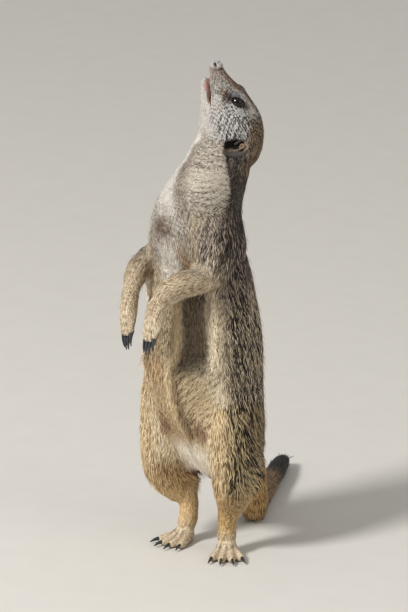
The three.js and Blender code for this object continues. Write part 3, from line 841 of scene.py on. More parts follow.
def body_colours(points, angle):
    """Trunk and neck: cream flank, dark ticked back with faint bars, darkened further as painted shade,
    grey-brown fore part, pale front with a brown whorl, loose pale neck skin up to a sharp edge, and a
    tawny nape; the flank's hollow and fold and the neck's folds carry painted shade and a painted highlight."""
    x, y, z = points.T
    left = x > MIDLINE
    uneven = 5 * ripple(points, 24, 5)
    belly = ease(-40, -56, angle + uneven)
    upper = ease(180, 212, z)
    back = ease(-31 - 4 * ease(185, 215, z), -16 + 18 * ease(185, 215, z), angle + 0.7 * uneven)
    bars = ease(0.2, 0.8, np.cos(2 * np.pi * (z + 0.25 * np.abs(x)) / BAR_PITCH))
    past = angle - ridge_angle(z)
    hollow = left * ease(-1, 2, past) * ease(-38, -42, angle + 0.3 * uneven)
    turn = np.abs(neck_turn(points))
    past_edge = turn - neck_edge(z)
    neck = ease(236, 256, z + 0.3 * y)
    chest = np.exp(-((x - 5) / 8) ** 2 - ((z - 219) / 15) ** 2) * (angle < -40)
    edge = hill(from_line(x + y, z, CHEST_FOLD), 0, 2.6) * left * (angle < 0)
    groin = hill(np.abs(x - MIDLINE), 4, 16) * ease(90, 72, z) * ease(10, -20, angle)
    seam = hill(x - MIDLINE - 0.8 * np.sin(z / 2.2), 0, 0.9) * ease(64, 68, z) * ease(88, 82, z) * (y < 0)
    teats = np.exp(-(((np.abs(x - MIDLINE) - 15.5) / 6) ** 2 + ((z - 93) / 7) ** 2)) * (angle < -20)
    whorl = np.exp(-(((x + 1) / 7) ** 2 + ((z - 240) / 6) ** 2)) * (angle < 0)
    return layers(
        tones(len(points), "faecd0", "806340"),
        # belly, the grey-brown fore part, the pale front and the dark back with its bars, partly painted
        # shade
        ("d6c3a1", "5f4a32", belly),
        ("e3cda4", "8c6a40", belly * ease(150, 100, z)),
        ("dccbb6", "281b15", (1 - belly) * upper),
        ("d4cabc", "62564b", ease(-50, -64, angle) * ease(205, 225, z)),
        # the dark back: its own dark coat, darkened further as painted shade on the side away from the light
        ("decaac", "140c09", back),
        ("bda796", "150c09", back * upper),
        ("6e5c46", "140e0a", 0.65 * bars * ease(30, 58, angle) * ease(60, 85, z) * ease(225, 200, z)),
        # the hollow of the left flank, dark above and golden below, with the fold in front of it; its dark
        # upper part is painted shade under the arm over grey-brown fur
        ("84745f", "130d09", 0.95 * hollow * ease(136, 146, z) * ease(212, 206, z)),
        ("f0dab2", "5c432b", 0.9 * hollow * ease(142, 134, z) * ease(84, 96, z)),
        # a dark line just behind the fold, where the hollow begins: painted shade
        ("a5845c", "2c1e14", 0.8 * left * hill(past, 3.5, 2.6) * ease(84, 92, z) * ease(150, 138, z)),
        # pale cream along the fold's crest: cream fur, brightened as a painted highlight
        ("f3e0ba", "c9ab7e", left * hill(past, -4, 3.4) * ease(70, 80, z) * ease(210, 190, z)),
        # a grey-brown band in front of the fold low on the belly: darker fur, and painted shade
        ("9a8266", "4b3727", 0.8 * left * hill(past, -13, 4) * ease(122, 112, z) * ease(78, 86, z)),
        ("efcc98", "a0743f", 0.55 * (~left) * hill(z, 140, 14) * ease(-20, -50, angle)),
        # the loose neck skin, the dark nape behind its edge with painted shade in the fold there, and the
        # pale throat with painted shade beside its keel
        ("ddd2c0", "40342a", loose_skin(points)),
        ("9c8f82", "1c1411", neck * ease(-3, 2, past_edge)),
        # a very dark line along the loose skin's edge: painted shade in the fold
        ("2e221b", "0f0a08", neck * hill(past_edge, 2.5, 4) * ease(252, 262, z)),
        ("a58a68", "20150e", neck * ease(130, 165, turn)),
        ("efebe3", "b9b1a5", ease(31, 22, turn) * ease(240, 262, z)),
        # a greyer band beside the throat's keel: painted shade
        ("a39284", "5a4a3e", 0.6 * hill(turn, 36, 8) * ease(246, 258, z) * ease(294, 284, z)),
        # the white patch of the chest and its tawny edge, the groin, the teats and the whorl
        ("f0eae0", "aaa092", 0.9 * ease(0.15, 0.5, chest)),
        ("bb9a70", "6a4a2c", 0.9 * edge),
        ("fffaf0", "f0e2c8", groin),
        ("9a7a66", "6b4c3c", 0.8 * seam),
        ("94703f", "4a331d", ease(56, 49, z)),
        ("a98667", "6e4f38", 0.85 * ease(0.15, 0.6, teats)),
        ("8a6e5c", "46332a", 0.9 * ease(0.1, 0.6, whorl)))


def combed(points, names):
    """How much paler or darker the locks lie at each root: painted shade in lines across the loose neck
    skin with a painted highlight high on it, long locks that sweep down and forward over the lower flank,
    a dark back coat, partly painted shade, that goes on down the outside of the left thigh, a pale flank
    and a darker fore part and skull."""
    angle, z = around(points, TORSO), points[:, 2]
    torso, legs = names == "torso", names == "leg"
    shoulder = np.isin(names, ["torso", "upper_arm"])
    turn = neck_turn(points)
    loose = torso * loose_skin(points) * ease(40, 55, np.abs(turn)) * ease(294, 286, z)
    height = z + 0.05 * np.abs(turn) + 0.9 * ripple(points, 17, 8)
    # lines across the loose neck skin, paler and darker in turn: painted shade in its crease lines
    painted_crease_shading = ripple(np.column_stack([height, 0.08 * turn, 0 * z]), CREASE_PITCH, 10)
    painted_crease_shading = painted_crease_shading * (0.11 + 0.03 * ease(262, 270, z))
    # a paler band high on the neck: painted highlight
    painted_neck_highlight = 0.05 + 0.14 * hill(z, 272, 7) - 0.12 * ease(262, 248, z)
    across = 0.8 * z - 0.57 * 0.7 * angle
    down = 0.57 * z + 0.8 * 0.7 * angle
    swept = torso * ease(-82, -70, angle) * ease(-22, -34, angle) * ease(146, 136, z) * ease(92, 102, z)
    sweep = ripple(np.column_stack([across, 0.15 * down, 0 * z]), SWEEP_PITCH, 26)
    outside = legs * (points[:, 0] - MIDLINE > 26) * ease(-72, -54, around_legs(points))
    on_leg = np.maximum(outside, legs * ease(-22, -4, angle)) * ease(42, 60, z)
    # the dark back coat, deepened as painted shade
    saddle_and_shade = np.maximum(shoulder * ease(-24, -6, angle), on_leg)
    flank = torso * ease(-66, -56, angle) * ease(-20, -32, angle) * ease(200, 180, z)
    fore = shoulder * ease(190, 212, z) * ease(250, 240, z) * ease(-50, -38, angle)
    fore = fore + 0.6 * (names == "skull")
    return loose * (painted_neck_highlight + painted_crease_shading) + 0.3 * swept * sweep - 0.37 * saddle_and_shade + 0.18 * flank - 0.14 * fore


def leg_colours(points, angle):
    """Thigh and shank: cream in front, dark and ticked outside and behind, ochre to the hock, pale
    between the thighs, and the right shank paler as painted light."""
    x, _, z = points.T
    left = x > MIDLINE
    middle = np.where(left, *(np.interp(z, *np.array(LEGS[side])[::-1, [2, 0]].T)
                              for side in ("left", "right")))
    outer = ease(-3, 3, (x - middle) * np.where(left, 1, -1))
    uneven = 6 * ripple(points, 18, 6)
    back = outer * ease(-74, -56, angle + uneven) + (1 - outer) * ease(0, 25, angle + uneven)
    inner = ease(6, -6, np.abs(x - MIDLINE) - 26)
    return layers(
        tones(len(points), "e8d2a8", "94724a"),
        ("d8c194", "22170e", back),
        ("ab9270", "120b08", 0.85 * back * ease(-36, -14, angle + uneven) * ease(60, 90, z)),
        ("e8c48a", "7d5529", 0.8 * ease(66, 42, z) * (1 - 0.45 * back)),
        ("e2c48e", "84602f", ease(40, 28, z)),
        # the right shank painted paler: painted light
        ("f6e0b4", "c49c62", 0.8 * (~left) * ease(50, 36, z)),
        ("fcf2dc", "b8986a", ease(22, 10, z)),
        ("eadcc0", "c0a67c", 0.8 * inner * ease(10, -30, angle) * ease(62, 74, z)),
        ("b08a56", "5f4325", 0.7 * inner * hill(z, 60, 9)))


def eye_marks(head, s):
    """The coats round the eye on side s: brown streak, grey shade, dark corners, grey lid skin with a
    painted highlight, and silver cheek."""
    x = head[:, 0]
    offset = head - (EYE_SEAT + [2, 0, 0]) * [s, 1, 1]
    back, up = offset[:, 1], offset[:, 2]
    near = ease(0, 3, s * x)
    streak = hill(back + 0.1 * up, -8.2, 2.6) * ease(-3, 1, up) * ease(11, 8, up)
    shade = np.exp(-((back + 4.6) / 2.4) ** 2 - ((up - 3.5) / 4.5) ** 2)
    coats = [("8b6a52", "3a271d", 0.9 * streak * near),
             ("76716f", "2c2827", 0.9 * ease(0.3, 0.7, shade) * near)]
    for place, wide, tall in EYE_CORNERS:
        corner = np.exp(-((back - place[0]) / wide) ** 2 - ((up - place[1]) / tall) ** 2)
        coats.append(("2b2422", "0c0a0a", 0.9 * ease(0.3, 0.7, corner) * near))
    # the upper lid: grey skin, lightened bluish as a painted highlight
    lid = np.exp(-((back + 0.6) / 3.6) ** 2 - ((up - 4.6) / 2.4) ** 2)
    silver = np.exp(-((head - [s * 16, -6, 22]) ** 2 / [64, 26, 30]).sum(1))
    return coats + [("7b777e", "47444c", 0.95 * ease(0.25, 0.6, lid) * near),
                    ("eeebe6", "57514c", 0.65 * silver)]


def head_colours(head):
    """Grizzled silver sides, dark brown crown, brown patch before the eye, white cheeks and chin."""
    x, y, z = head.T
    side = np.abs(x)
    uneven = 1.3 * ripple(head, 9, 7)
    ridge = ease(6.5, 2.6, side - 0.35 * (y + 8)) * ease(-13, -6, y) * ease(28, 36, z)
    brow = hill(y - 0.35 * (38 - z), 8.2, 2.4) * ease(22, 28, z) * ease(43, 39, z) * ease(3, 7, side)
    behind = np.exp(-((side - 21) / 5) ** 2 - ((y - 11) / 4) ** 2 - ((z - 8) / 6) ** 2)
    painted_shade_below_ear = np.exp(-((side - 22) / 8) ** 2 - ((y + 1) / 9) ** 2 - ((z + 4) / 3) ** 2)
    painted_shadow_before_ear = hill(y, -10.2, 1.5) * ease(-6, -3, z) * ease(13, 9, z) * ease(12, 16, side)
    return layers(
        tones(len(head), "e2ded8", "120f0d"),
        # crown and nape, the muzzle with its brown ridge, then the pale cheeks, chin and lips
        ("b09679", "23170f", ease(7, 13, y + uneven) * ease(34, 18, z)),
        ("a98a6a", "22160e", ease(-4, 8, y + 0.6 * uneven) * ease(8, -8, z + uneven)),
        ("cfc9bf", "4c443d", ease(32, 42, z)),
        ("94705a", "432c21", 0.9 * ridge),
        ("b09e93", "6a564b", ease(48, 54, z) * 0.85),
        ("dedad2", "7f766e", ease(-6, -12, y + uneven) * ease(20, 30, z) * ease(44, 36, z)),
        ("dedad2", "867d74", 0.85 * ease(-7, -13, y + uneven) * ease(30, 15, z)),
        ("dcd8d0", "a49c93", ease(-15.5, -18.5, y)),
        ("d8cfd0", "a99c9b", 0.8 * hill(y, -18.2, 1.4) * ease(12, 20, z) * ease(34, 30, z)),
        *eye_marks(head, 1), *eye_marks(head, -1),
        # the pale brow, the place behind the ear, painted shade below the ear's rim and painted shadow
        # before its front edge
        ("f6f2e8", "8d8174", 0.9 * brow),
        ("c9b09a", "5a4738", 0.55 * behind),
        ("4d443d", "1d1714", 0.85 * ease(0.2, 0.6, painted_shade_below_ear)),
        ("4a3d34", "16100d", 0.9 * painted_shadow_before_ear))


def arm_colours(points, names, body):
    """Arms and hands: pale with brown ticks, palest on the hand, and the body's own colours where
    the upper arm leaves the shoulder."""
    _, y, z = points.T
    grizzled = layers(tones(len(points), "d8cab2", "3a2d22"),
                      ("f6e8cc", "957550", ease(214, 199, z + 0.3 * (y + 14))),
                      ("faf0da", "b3956a", ease(192, 178, z)))
    shoulder = (names == "upper_arm") * ease(212, 228, z + 0.4 * (y + 14))
    return grizzled + shoulder[:, None] * (body - grizzled)


def tail_colours(along):
    """Tail: ochre at its root, brown behind, black over the last quarter, darkened further as painted
    shadow.
    """
    return layers(tones(len(along), "d3ab70", "54391f"),
                  ("9a7c58", "32241b", ease(0.3, 0.42, along)),
                  # the black tip, made darker still as painted shadow
                  ("4c3a2a", "19120e", ease(0.62, 0.82, along)),
                  ("1a1411", "0a0807", ease(0.68, 0.79, along)))


def coat_colours(points, names, along):
    """The pair of hair colours at every point, by the limb that it is on."""
    colours = body_colours(points, around(points, TORSO))
    arm = np.isin(names, ["upper_arm", "forearm", "hand", "finger"])
    colours[arm] = arm_colours(points[arm], names[arm], colours[arm])
    leg = np.isin(names, ["leg", "shin", "ball", "toe"])
    colours[leg] = leg_colours(points[leg], around_legs(points[leg]))
    on_the_head = np.isin(names, ["skull", "jaw", "brow", "cheek"])
    head = to_head(points[on_the_head])
    nape = (ease(2, -14, head[:, 2]) * ease(0, 9, head[:, 1]))[:, None]
    colours[on_the_head] = head_colours(head) * (1 - nape) + nape * colours[on_the_head]
    tail = names == "tail"
    colours[tail] = tail_colours(along[tail])
    return colours


# ---- the coat's form ----
HAIR = {  # limb: length in mm and lift off the skin in radians, before hair_form() changes them
    "torso": (5.2, 0.16), "leg": (7.0, 0.17), "tail": (6.2, 0.2), "upper_arm": (4.8, 0.17),
    "forearm": (3.8, 0.22), "hand": (2.2, 0.22), "finger": (1.2, 0.2), "shin": (2.6, 0.2),
    "ball": (1.4, 0.22), "toe": (1.1, 0.2), "skull": (2.8, 0.22), "jaw": (1.2, 0.17),
    "cheek": (2.2, 0.22), "brow": (1.8, 0.4),
}
COAT_PIECES = ["coat_head", "coat_neck", "coat_chest", "coat_trunk_left", "coat_trunk_right",
               "coat_loin_left", "coat_loin_right", "coat_thigh_left", "coat_thigh_right",
               "coat_arms", "coat_feet", "coat_tail"]
SHORT_HAIR = 6.2
COVER = 3.8
GUARD_SHARE = 0.11
GUARD_REACH = 1.6
GUARD_WIDTH = 0.48
STRAY_REACH = 2.4
STRAY_WIDTH = 0.3
STRAY_TONE = 0.75
TICKED_SHARE = 0.3
LOCK_PITCH = 1.5
LOCK_STRETCH = 0.22
FLECK_PITCH = 1.6
MAP_ROWS = 80
PATCH = 0.003
SEED = 11


def piece_of(points, names):
    """Which coat piece a root belongs to, as a number into COAT_PIECES."""
    z, right = points[:, 2], (points[:, 0] < MIDLINE).astype(int)
    piece = np.where(z > 250, 1, np.where(z > 196, 2, np.where(z > 135, 3 + right, 5 + right)))
    piece = np.where(names == "leg", 7 + right, piece)
    piece = np.where(np.isin(names, ["upper_arm", "forearm", "hand", "finger"]), 9, piece)
    piece = np.where(np.isin(names, ["shin", "ball", "toe"]), 10, piece)
    piece = np.where(names == "tail", 11, piece)
    return np.where(np.isin(names, ["skull", "jaw", "brow", "cheek"]), 0, piece)


def lip_bands(head):
    """The wet pink lip near the tip of the lower jaw, and the brown corner of the lips behind it."""
    d, w = head[:, 1], head[:, 2]
    line = np.interp(w, MOUTH_LINE[:, 0], MOUTH_LINE[:, 1])
    pink = ease(1.25, 0.75, np.hypot((d + 19.7) / 1.8, (w - 44.9) / 3.9)) * ease(0.3, -0.3, d - line)
    brown = ease(1.25, 0.7, np.hypot((d + 18.2) / 1.3, (w - 39) / 6.2))
    return pink, brown


def hair_ways(points, names, body_angle, nearest):
    """The lie of the hair: each limb's own way, mixed by nearness, then level across the loose neck
    skin, swept forward over the lower flank, backward over the thigh, and away from a whorl high
    on the chest."""
    out, places, tangents = nearest
    weight = np.exp(-(out - out.min(1, keepdims=True)) / 0.12)
    flow = np.zeros_like(points)
    for k, limb in enumerate(LIMBS):
        flow += (weight[:, k:k + 1] * limb.way) * tangents[k][places[:, k]]
    flow = unit(flow)
    z = points[:, 2]
    torso, legs = names == "torso", names == "leg"
    rows = np.array(TORSO)
    away = points[:, :2] - np.stack([np.interp(z, rows[:, 2], rows[:, k]) for k in (0, 1)], 1)
    level = unit(np.column_stack([-away[:, 1], away[:, 0], z * 0]))
    backward = level * np.sign(away[:, :1])
    turn = neck_turn(points)
    loose = (torso * loose_skin(points) * ease(38, 52, np.abs(turn)))[:, None]
    waves = 0.25 * ripple(points, 12, 31)[:, None] * Z
    flow = flow * (1 - loose) + loose * (level * np.sign(turn)[:, None] - waves)
    swept = torso * hill(body_angle, -55, 18) * ease(152, 140, z) * ease(96, 108, z)
    flow -= 1.2 * swept[:, None] * backward
    hip = legs * ease(118, 60, z) * ease(30, 50, z) * ease(-50, -5, around_legs(points))
    flow += 0.95 * hip[:, None] * Y
    whorl = points - [-3, -44, 240]
    near_whorl = np.exp(-(whorl**2).sum(1) / 16**2)
    return flow + 1.6 * near_whorl[:, None] * unit(whorl)


def hair_form(points, head, names, home, body_angle):
    """Length and lift of the hair: each limb's own, shorter on the nose, neck and shanks, and longer
    between the thighs, in a tuft on the right side of the belly and in a skirt behind the hocks."""
    x, _, z = points.T
    torso, legs = names == "torso", names == "leg"
    form = np.array([HAIR[name] for name in LIMB_NAMES])[home]
    on_face = np.isin(names, ["skull", "cheek", "brow"])
    form[on_face, 0] *= 1 - 0.55 * ease(20, 36, head[on_face, 2])
    form[torso, 0] *= (1 - 0.5 * ease(225, 255, z[torso])) * (1 - 0.2 * ease(0, -40, body_angle[torso]))
    form[torso, 1] *= 1 - 0.35 * ease(235, 260, z[torso])
    leg_angle = around_legs(points)
    inner_leg = legs * hill(np.abs(x - MIDLINE), 10, 14) * hill(z, 66, 14) * ease(-35, -5, leg_angle)
    form += inner_leg[:, None] * [1.2, 0.06]
    form[legs, 0] *= 1 - 0.7 * ease(58, 33, z[legs])
    belly_tuft = torso * (x < MIDLINE) * hill(body_angle, -48, 24) * hill(z, 158, 24)
    form += belly_tuft[:, None] * [8, 0.36]
    skirt = legs * hill(z, 60, 15) * ease(-5, 30, leg_angle)
    return form + skirt[:, None] * [8.5, 0.12]


def bare_places(points, normals, head, names, lips):
    """1 where no hair grows: the slits of the lids, the lips, the ears' hollows, the nose, the soles
    and the pads under the hands."""
    z = points[:, 2]
    near_face = np.linalg.norm(head, axis=1) < 80
    pads = np.isin(names, ["hand", "finger"]) * ease(0.25, 0.6, normals @ unit(np.array([0.25, 0.8, -0.5])))
    return np.maximum.reduce([
        *(ease(1.28, 1.14, from_slit(head, side)[0]) for side in (1, -1)),
        lips,
        near_face * ease(0, 0.12, ear_ovals(head)),
        near_face * np.maximum(*lip_bands(head)),
        near_face * ease(55, 56.5, head[:, 2]),
        ease(1.6, 0.7, z),
        pads * ease(181, 177, z)])


def stray_share(points, normals, names, body_angle):
    """The share of tufts that are long single hairs standing out: a few on the back, more on the
    chest, the lower flank, behind the hocks, under the arms and on brow and jaw."""
    x, _, z = points.T
    torso, legs = names == "torso", names == "leg"
    front = torso * np.maximum(ease(-38, -60, body_angle), x < MIDLINE)
    under_arm = np.isin(names, ["forearm", "upper_arm"]) * (normals[:, 2] < -0.5)
    return np.maximum.reduce([
        0.004 + 0.014 * (torso | legs) * ease(-10, 20, body_angle),
        0.06 * front * ease(196, 212, z) * ease(272, 252, z) * (body_angle < 0),
        0.05 * (torso | legs) * ease(150, 140, z) * ease(104, 116, z) * (body_angle < -40),
        0.12 * legs * ease(70, 56, z) * ease(-20, 20, around_legs(points)),
        0.05 * under_arm,
        0.03 * (names == "brow") + 0.02 * (names == "jaw")])


def dress(skin, lips):
    """Per-vertex facts of the skin that its material and its coat share."""
    points, normals, edges = read(skin.data)
    nearest = nearest_limbs(points)
    out, places, _ = nearest
    home = np.argmin(out, 1)
    names = LIMB_NAMES[home]
    head = to_head(points)
    body_angle = around(points, TORSO)
    along = np.take_along_axis(places, home[:, None], 1)[:, 0] / SECTIONS
    colours = coat_colours(points, names, along)
    # dark hair in the gaps between the toes and between the fingers: painted shade
    for digits in ("toe", "finger"):
        two = np.sort(out[:, LIMB_NAMES == digits], 1)[:, :2]
        painted_gap_shade = ease(0.42, 0.1, two[:, 1] - two[:, 0]) * ease(1.9, 1.45, two[:, 0])
        colours = layers(colours, ("7a5f3f", "2c1f15", 0.85 * painted_gap_shade))
    form = hair_form(points, head, names, home, body_angle)
    flow = hair_ways(points, names, body_angle, nearest)
    blend = relax(np.column_stack([colours, form, flow]), edges, 2, 0.5)
    upwards = (names == "torso") * ease(196, 214, points[:, 2]) * (body_angle < 0)
    return {
        "points": points, "normals": normals, "names": names, "home": home,
        "colours": np.clip(blend[:, :6], 0, 1), "form": blend[:, 6:8], "flow": blend[:, 8:],
        "stray": stray_share(points, normals, names, body_angle)[:, None], "upwards": upwards[:, None],
        "bare": bare_places(points, normals, head, names, lips), "lips": lips,
    }


def number_attribute(mesh, name, values):
    """One number on every vertex."""
    made = mesh.attributes.new(name, "FLOAT", "POINT")
    made.data.foreach_set("value", values.astype(np.float32))


def colour_attribute(mesh, name, values):
    """A colour on every vertex, from linear red, green and blue."""
    made = mesh.attributes.new(name, "FLOAT_COLOR", "POINT")
    made.data.foreach_set("color", np.column_stack(
        [values, np.ones(len(values))]).astype(np.float32).ravel())


def vector_attribute(mesh, name, values):
    """Three numbers on every vertex."""
    made = mesh.attributes.new(name, "FLOAT_VECTOR", "POINT")
    made.data.foreach_set("vector", values.astype(np.float32).ravel())


def roots(skin, facts):
    """Seeded places on the skin, more where the hair is short, with the facts mixed from the
    triangle's corners. The count per area is the cover wanted over a hair's own area."""
    rng = np.random.default_rng(SEED)
    mesh = skin.data
    mesh.calc_loop_triangles()
    triangles = np.empty(len(mesh.loop_triangles) * 3, np.int32)
    mesh.loop_triangles.foreach_get("vertices", triangles)
    triangles = triangles.reshape(-1, 3)
    corners = facts["points"][triangles]
    area = np.linalg.norm(np.cross(corners[:, 1] - corners[:, 0], corners[:, 2] - corners[:, 0]),
                          axis=1) / 2
    length = facts["form"][triangles, 0].mean(1)
    dense = COVER / (0.55 * length * hair_width(length)) * (1 - 0.4 * ease(3, 1.2, length))
    wanted = area * dense * (1 - np.minimum(1, facts["bare"][triangles].max(1)))
    total = np.cumsum(wanted)
    count = int(total[-1])
    chosen = np.sort(np.searchsorted(total, rng.uniform(0, total[-1], count)))
    share = rng.dirichlet([1, 1, 1], count)
    picked = triangles[chosen]
    mixed = {key: np.einsum("nk,nkj->nj", share, facts[key][picked])
             for key in ("points", "normals", "colours", "form", "flow", "stray", "upwards")}
    first = picked[np.arange(count), share.argmax(1)]
    mixed["names"], mixed["home"] = facts["names"][first], facts["home"][first]
    mixed["normals"] = unit(mixed["normals"])
    return mixed, rng


def hair_width(length):
    """Width of a tuft of that length, in mm."""
    return 0.3 + 0.035 * length


def tuft_points(base, normal, way, length, width, lift, roll, bends):
    """A folded vane: at each station a left edge, a raised ridge and a right edge, and one tip.

    The middle line starts along the lifted direction and settles towards the skin by the tip; the
    vane is widest in its middle and turned about its own line by the roll. Its root lies under the
    skin by a third of its rise."""
    side = unit(np.cross(way, normal))
    side = side * np.cos(roll)[:, None] + normal * np.sin(roll)[:, None]
    columns, place = [], base - (0.04 + 0.3 * length * np.sin(lift))[:, None] * normal
    for k in range(bends):
        pitch = lift * (1.35 - 0.95 * k / max(1, bends - 1)) if bends > 1 else lift
        ahead = way * np.cos(pitch)[:, None] + normal * np.sin(pitch)[:, None]
        up = np.cross(side, ahead)
        half = (width * (0.36 if k == 0 and bends > 1 else 0.5))[:, None]
        columns += [place - side * half, place + up * half * 0.55, place + side * half]
        place = place + ahead * (length / bends)[:, None]
    columns.append(place)
    return np.stack(columns, 1)


def tuft_faces(bends):
    """Two strips of faces between the stations, and two triangles to the tip."""
    faces = []
    for k in range(bends - 1):
        a, b, c = 3 * k, 3 * k + 1, 3 * k + 2
        faces += [[a, b, b + 3], [a, b + 3, a + 3], [b, c, c + 3], [b, c + 3, b + 3]]
    last = 3 * (bends - 1)
    tip = 3 * bends
    faces += [[last, last + 1, tip], [last + 1, last + 2, tip]]
    return np.array(faces)


def unwrapped(root, home):
    """Each root's angle round its limb, its share of the way along it, and both in mm."""
    share = np.linspace(0, 1, MAP_ROWS)
    found = np.empty((4, len(root)))
    for k in np.unique(home):
        mine = home == k
        centre, _, wide, deep, girth, length = LIMBS[k].sections(share)
        points = root[mine]
        place = np.argmin(squared_spans(points, centre), 1)
        offset = points - centre[place]
        angle = np.arctan2(dots(offset, deep[place]), dots(offset, wide[place]))
        found[:, mine] = [angle, share[place], angle * girth.mean(), share[place] * length]
    return found


def root_map(home, angle, share):
    """Each root's place on an unwrap of the skin: one column of the unit square for each limb in
    the piece, with the angle round the limb across it and the share along the limb up it."""
    limbs, column = np.unique(home, return_inverse=True)
    across = (column + 0.02 + 0.96 * (angle / (2 * np.pi) + 0.5)) / len(limbs)
    return np.column_stack([across, 0.01 + 0.98 * share])


def coat_mesh(tufts, bends, hair):
    """The tufts with `bends` stations each, as arrays: points, faces, strand (way along, tone and
    banded tip), pale and dark hair, and the map."""
    count, corners = tufts.shape[:2]
    faces = (tuft_faces(bends)[None] + (np.arange(count) * corners)[:, None, None]).reshape(-1, 3)
    along = np.append(np.repeat(np.arange(bends) / bends, 3), 1.0)
    across = np.append(np.tile([-0.5, 0, 0.5], bends), 0.0)

    def spread(values):
        return np.broadcast_to(values, (count, corners))

    strand = np.stack([spread(along), spread(hair["tone"][:, None]), spread(hair["ticked"][:, None])], -1)
    light = np.repeat(hair["colours"][:, None, :3], corners, 1)
    dark = np.repeat(hair["colours"][:, None, 3:], corners, 1)
    spot = hair["spots"][:, None] + PATCH * np.stack([spread(across), spread(along - 0.5)], -1)
    return (tufts.reshape(-1, 3), faces, strand.reshape(-1, 3), light.reshape(-1, 3),
            dark.reshape(-1, 3), spot.reshape(-1, 2))


def coat_piece(name, parts, hair_material, slot):
    """One coat object from its long and its short tufts."""
    starts = np.cumsum([0] + [len(part[0]) for part in parts[:-1]])
    faces = np.vstack([part[1] + start for part, start in zip(parts, starts)])
    points, _, strand, light, dark, spot = (np.vstack(values) for values in zip(*parts))
    mesh = mesh_of(name, points, faces)
    vector_attribute(mesh, "strand", strand)
    colour_attribute(mesh, "pale_hair", light)
    colour_attribute(mesh, "dark_hair", dark)
    unwrap = mesh.uv_layers.new(name="OFBake")
    unwrap.uv.foreach_set("vector", np.clip(spot, 0.001, 0.999)[faces.ravel()].astype(np.float32).ravel())
    object_of(name, mesh, hair_material, slot)


COAT_SLOTS = {"coat_head": "face_coat", "coat_neck": "pale_coat", "coat_chest": "pale_coat",
              "coat_feet": "warm_coat", "coat_arms": "pale_coat", "coat_tail": "dark_coat"}


def flattened(ways, normals):
    """Each way without its part along the normal."""
    return ways - normals * dots(ways, normals)[:, None]


def grow_coat(skin, facts, hair_material):
    """Tufts all over the skin, in the lie of the hair, in locks that lean together, with single
    guard hairs and strays. The order of the random draws is part of the coat's look."""
    hair, rng = roots(skin, facts)
    count = len(hair["points"])
    base, normal, names = hair["points"], hair["normals"], hair["names"]
    length = hair["form"][:, 0] * rng.uniform(0.7, 1.3, count)
    lift = hair["form"][:, 1] * rng.uniform(0.55, 1.45, count)
    lift *= 1 + 0.2 * ripple(base, 7, 21)
    way = unit(flattened(hair["flow"], normal))
    turn = 0.2 * ripple(base, 11, 22) + 0.1 * rng.normal(size=count)
    way = way * np.cos(turn)[:, None] + np.cross(normal, way) * np.sin(turn)[:, None]
    stray = rng.uniform(size=count) < hair["stray"][:, 0]
    up = stray & (hair["upwards"][:, 0] > 0.5)
    way[up] = unit(0.5 * Z + 0.25 * rng.normal(size=(count, 3)) - 0.3 * way)[up]
    way = unit(flattened(way, normal))
    length = np.where(stray, np.clip(length * STRAY_REACH, 3.5, 12) * rng.uniform(0.7, 1.1, count), length)
    guard = ~stray & (rng.uniform(size=count) < GUARD_SHARE * ease(4.3, 6, hair["form"][:, 0]))
    length = np.where(guard, GUARD_REACH * length, length)
    lift = np.where(stray, np.where(up, rng.uniform(0.5, 1.1, count), rng.uniform(0.3, 0.6, count)), lift)
    roll = rng.normal(0, 0.3, count)
    width = hair_width(length) * rng.uniform(0.75, 1.25, count)
    width = np.where(stray, STRAY_WIDTH, np.where(guard, GUARD_WIDTH, width))
    angle, share, turned, along = unwrapped(base, hair["home"])
    seen = base + way * (0.7 * length)[:, None]
    locks = np.column_stack([turned, along * LOCK_STRETCH, turned * 0])
    coarse = ease(2.5, 5.5, length)
    short = np.where(np.isin(names, ["skull", "cheek", "brow"]), 0.6, 0.36) * (1 - coarse)
    flecks = 0.22 * coarse * ripple(seen, LOCK_PITCH, 25) + short * ripple(seen, FLECK_PITCH, 27)
    level = (names == "torso") * loose_skin(base)
    tone = 0.52 + 0.26 * coarse * (1 - level) * ripple(locks, LOCK_PITCH, 23)
    tone += flecks * (1 - 0.5 * level)
    tone += (0.14 + 0.14 * coarse) * rng.normal(size=count)
    tone = ease(0.34, 0.66, tone + combed(base, names))
    hair["tone"] = np.where(stray, STRAY_TONE, np.where(guard, rng.uniform(0.85, 1, count), tone))
    hair["ticked"] = ((rng.uniform(size=count) < TICKED_SHARE) & ~stray).astype(float)
    hair["spots"] = np.empty((count, 2))
    piece = piece_of(base, names)
    long_hair = length > SHORT_HAIR
    for number, name in enumerate(COAT_PIECES):
        mine = piece == number
        hair["spots"][mine] = root_map(hair["home"][mine], angle[mine], share[mine])
        parts = []
        for chosen, bends in ((mine & long_hair, 2), (mine & ~long_hair, 1)):
            tufts = tuft_points(base[chosen], normal[chosen], way[chosen], length[chosen],
                                width[chosen], lift[chosen], roll[chosen], bends)
            tufts[..., 2] = np.maximum(tufts[..., 2], 0.05)
            some = {key: hair[key][chosen] for key in ("tone", "ticked", "colours", "spots")}
            parts.append(coat_mesh(tufts, bends, some))
        coat_piece(name, parts, hair_material, COAT_SLOTS.get(name, "grizzled_coat"))


# ---- hide and hair materials ----
SOLE_HEIGHT = 3


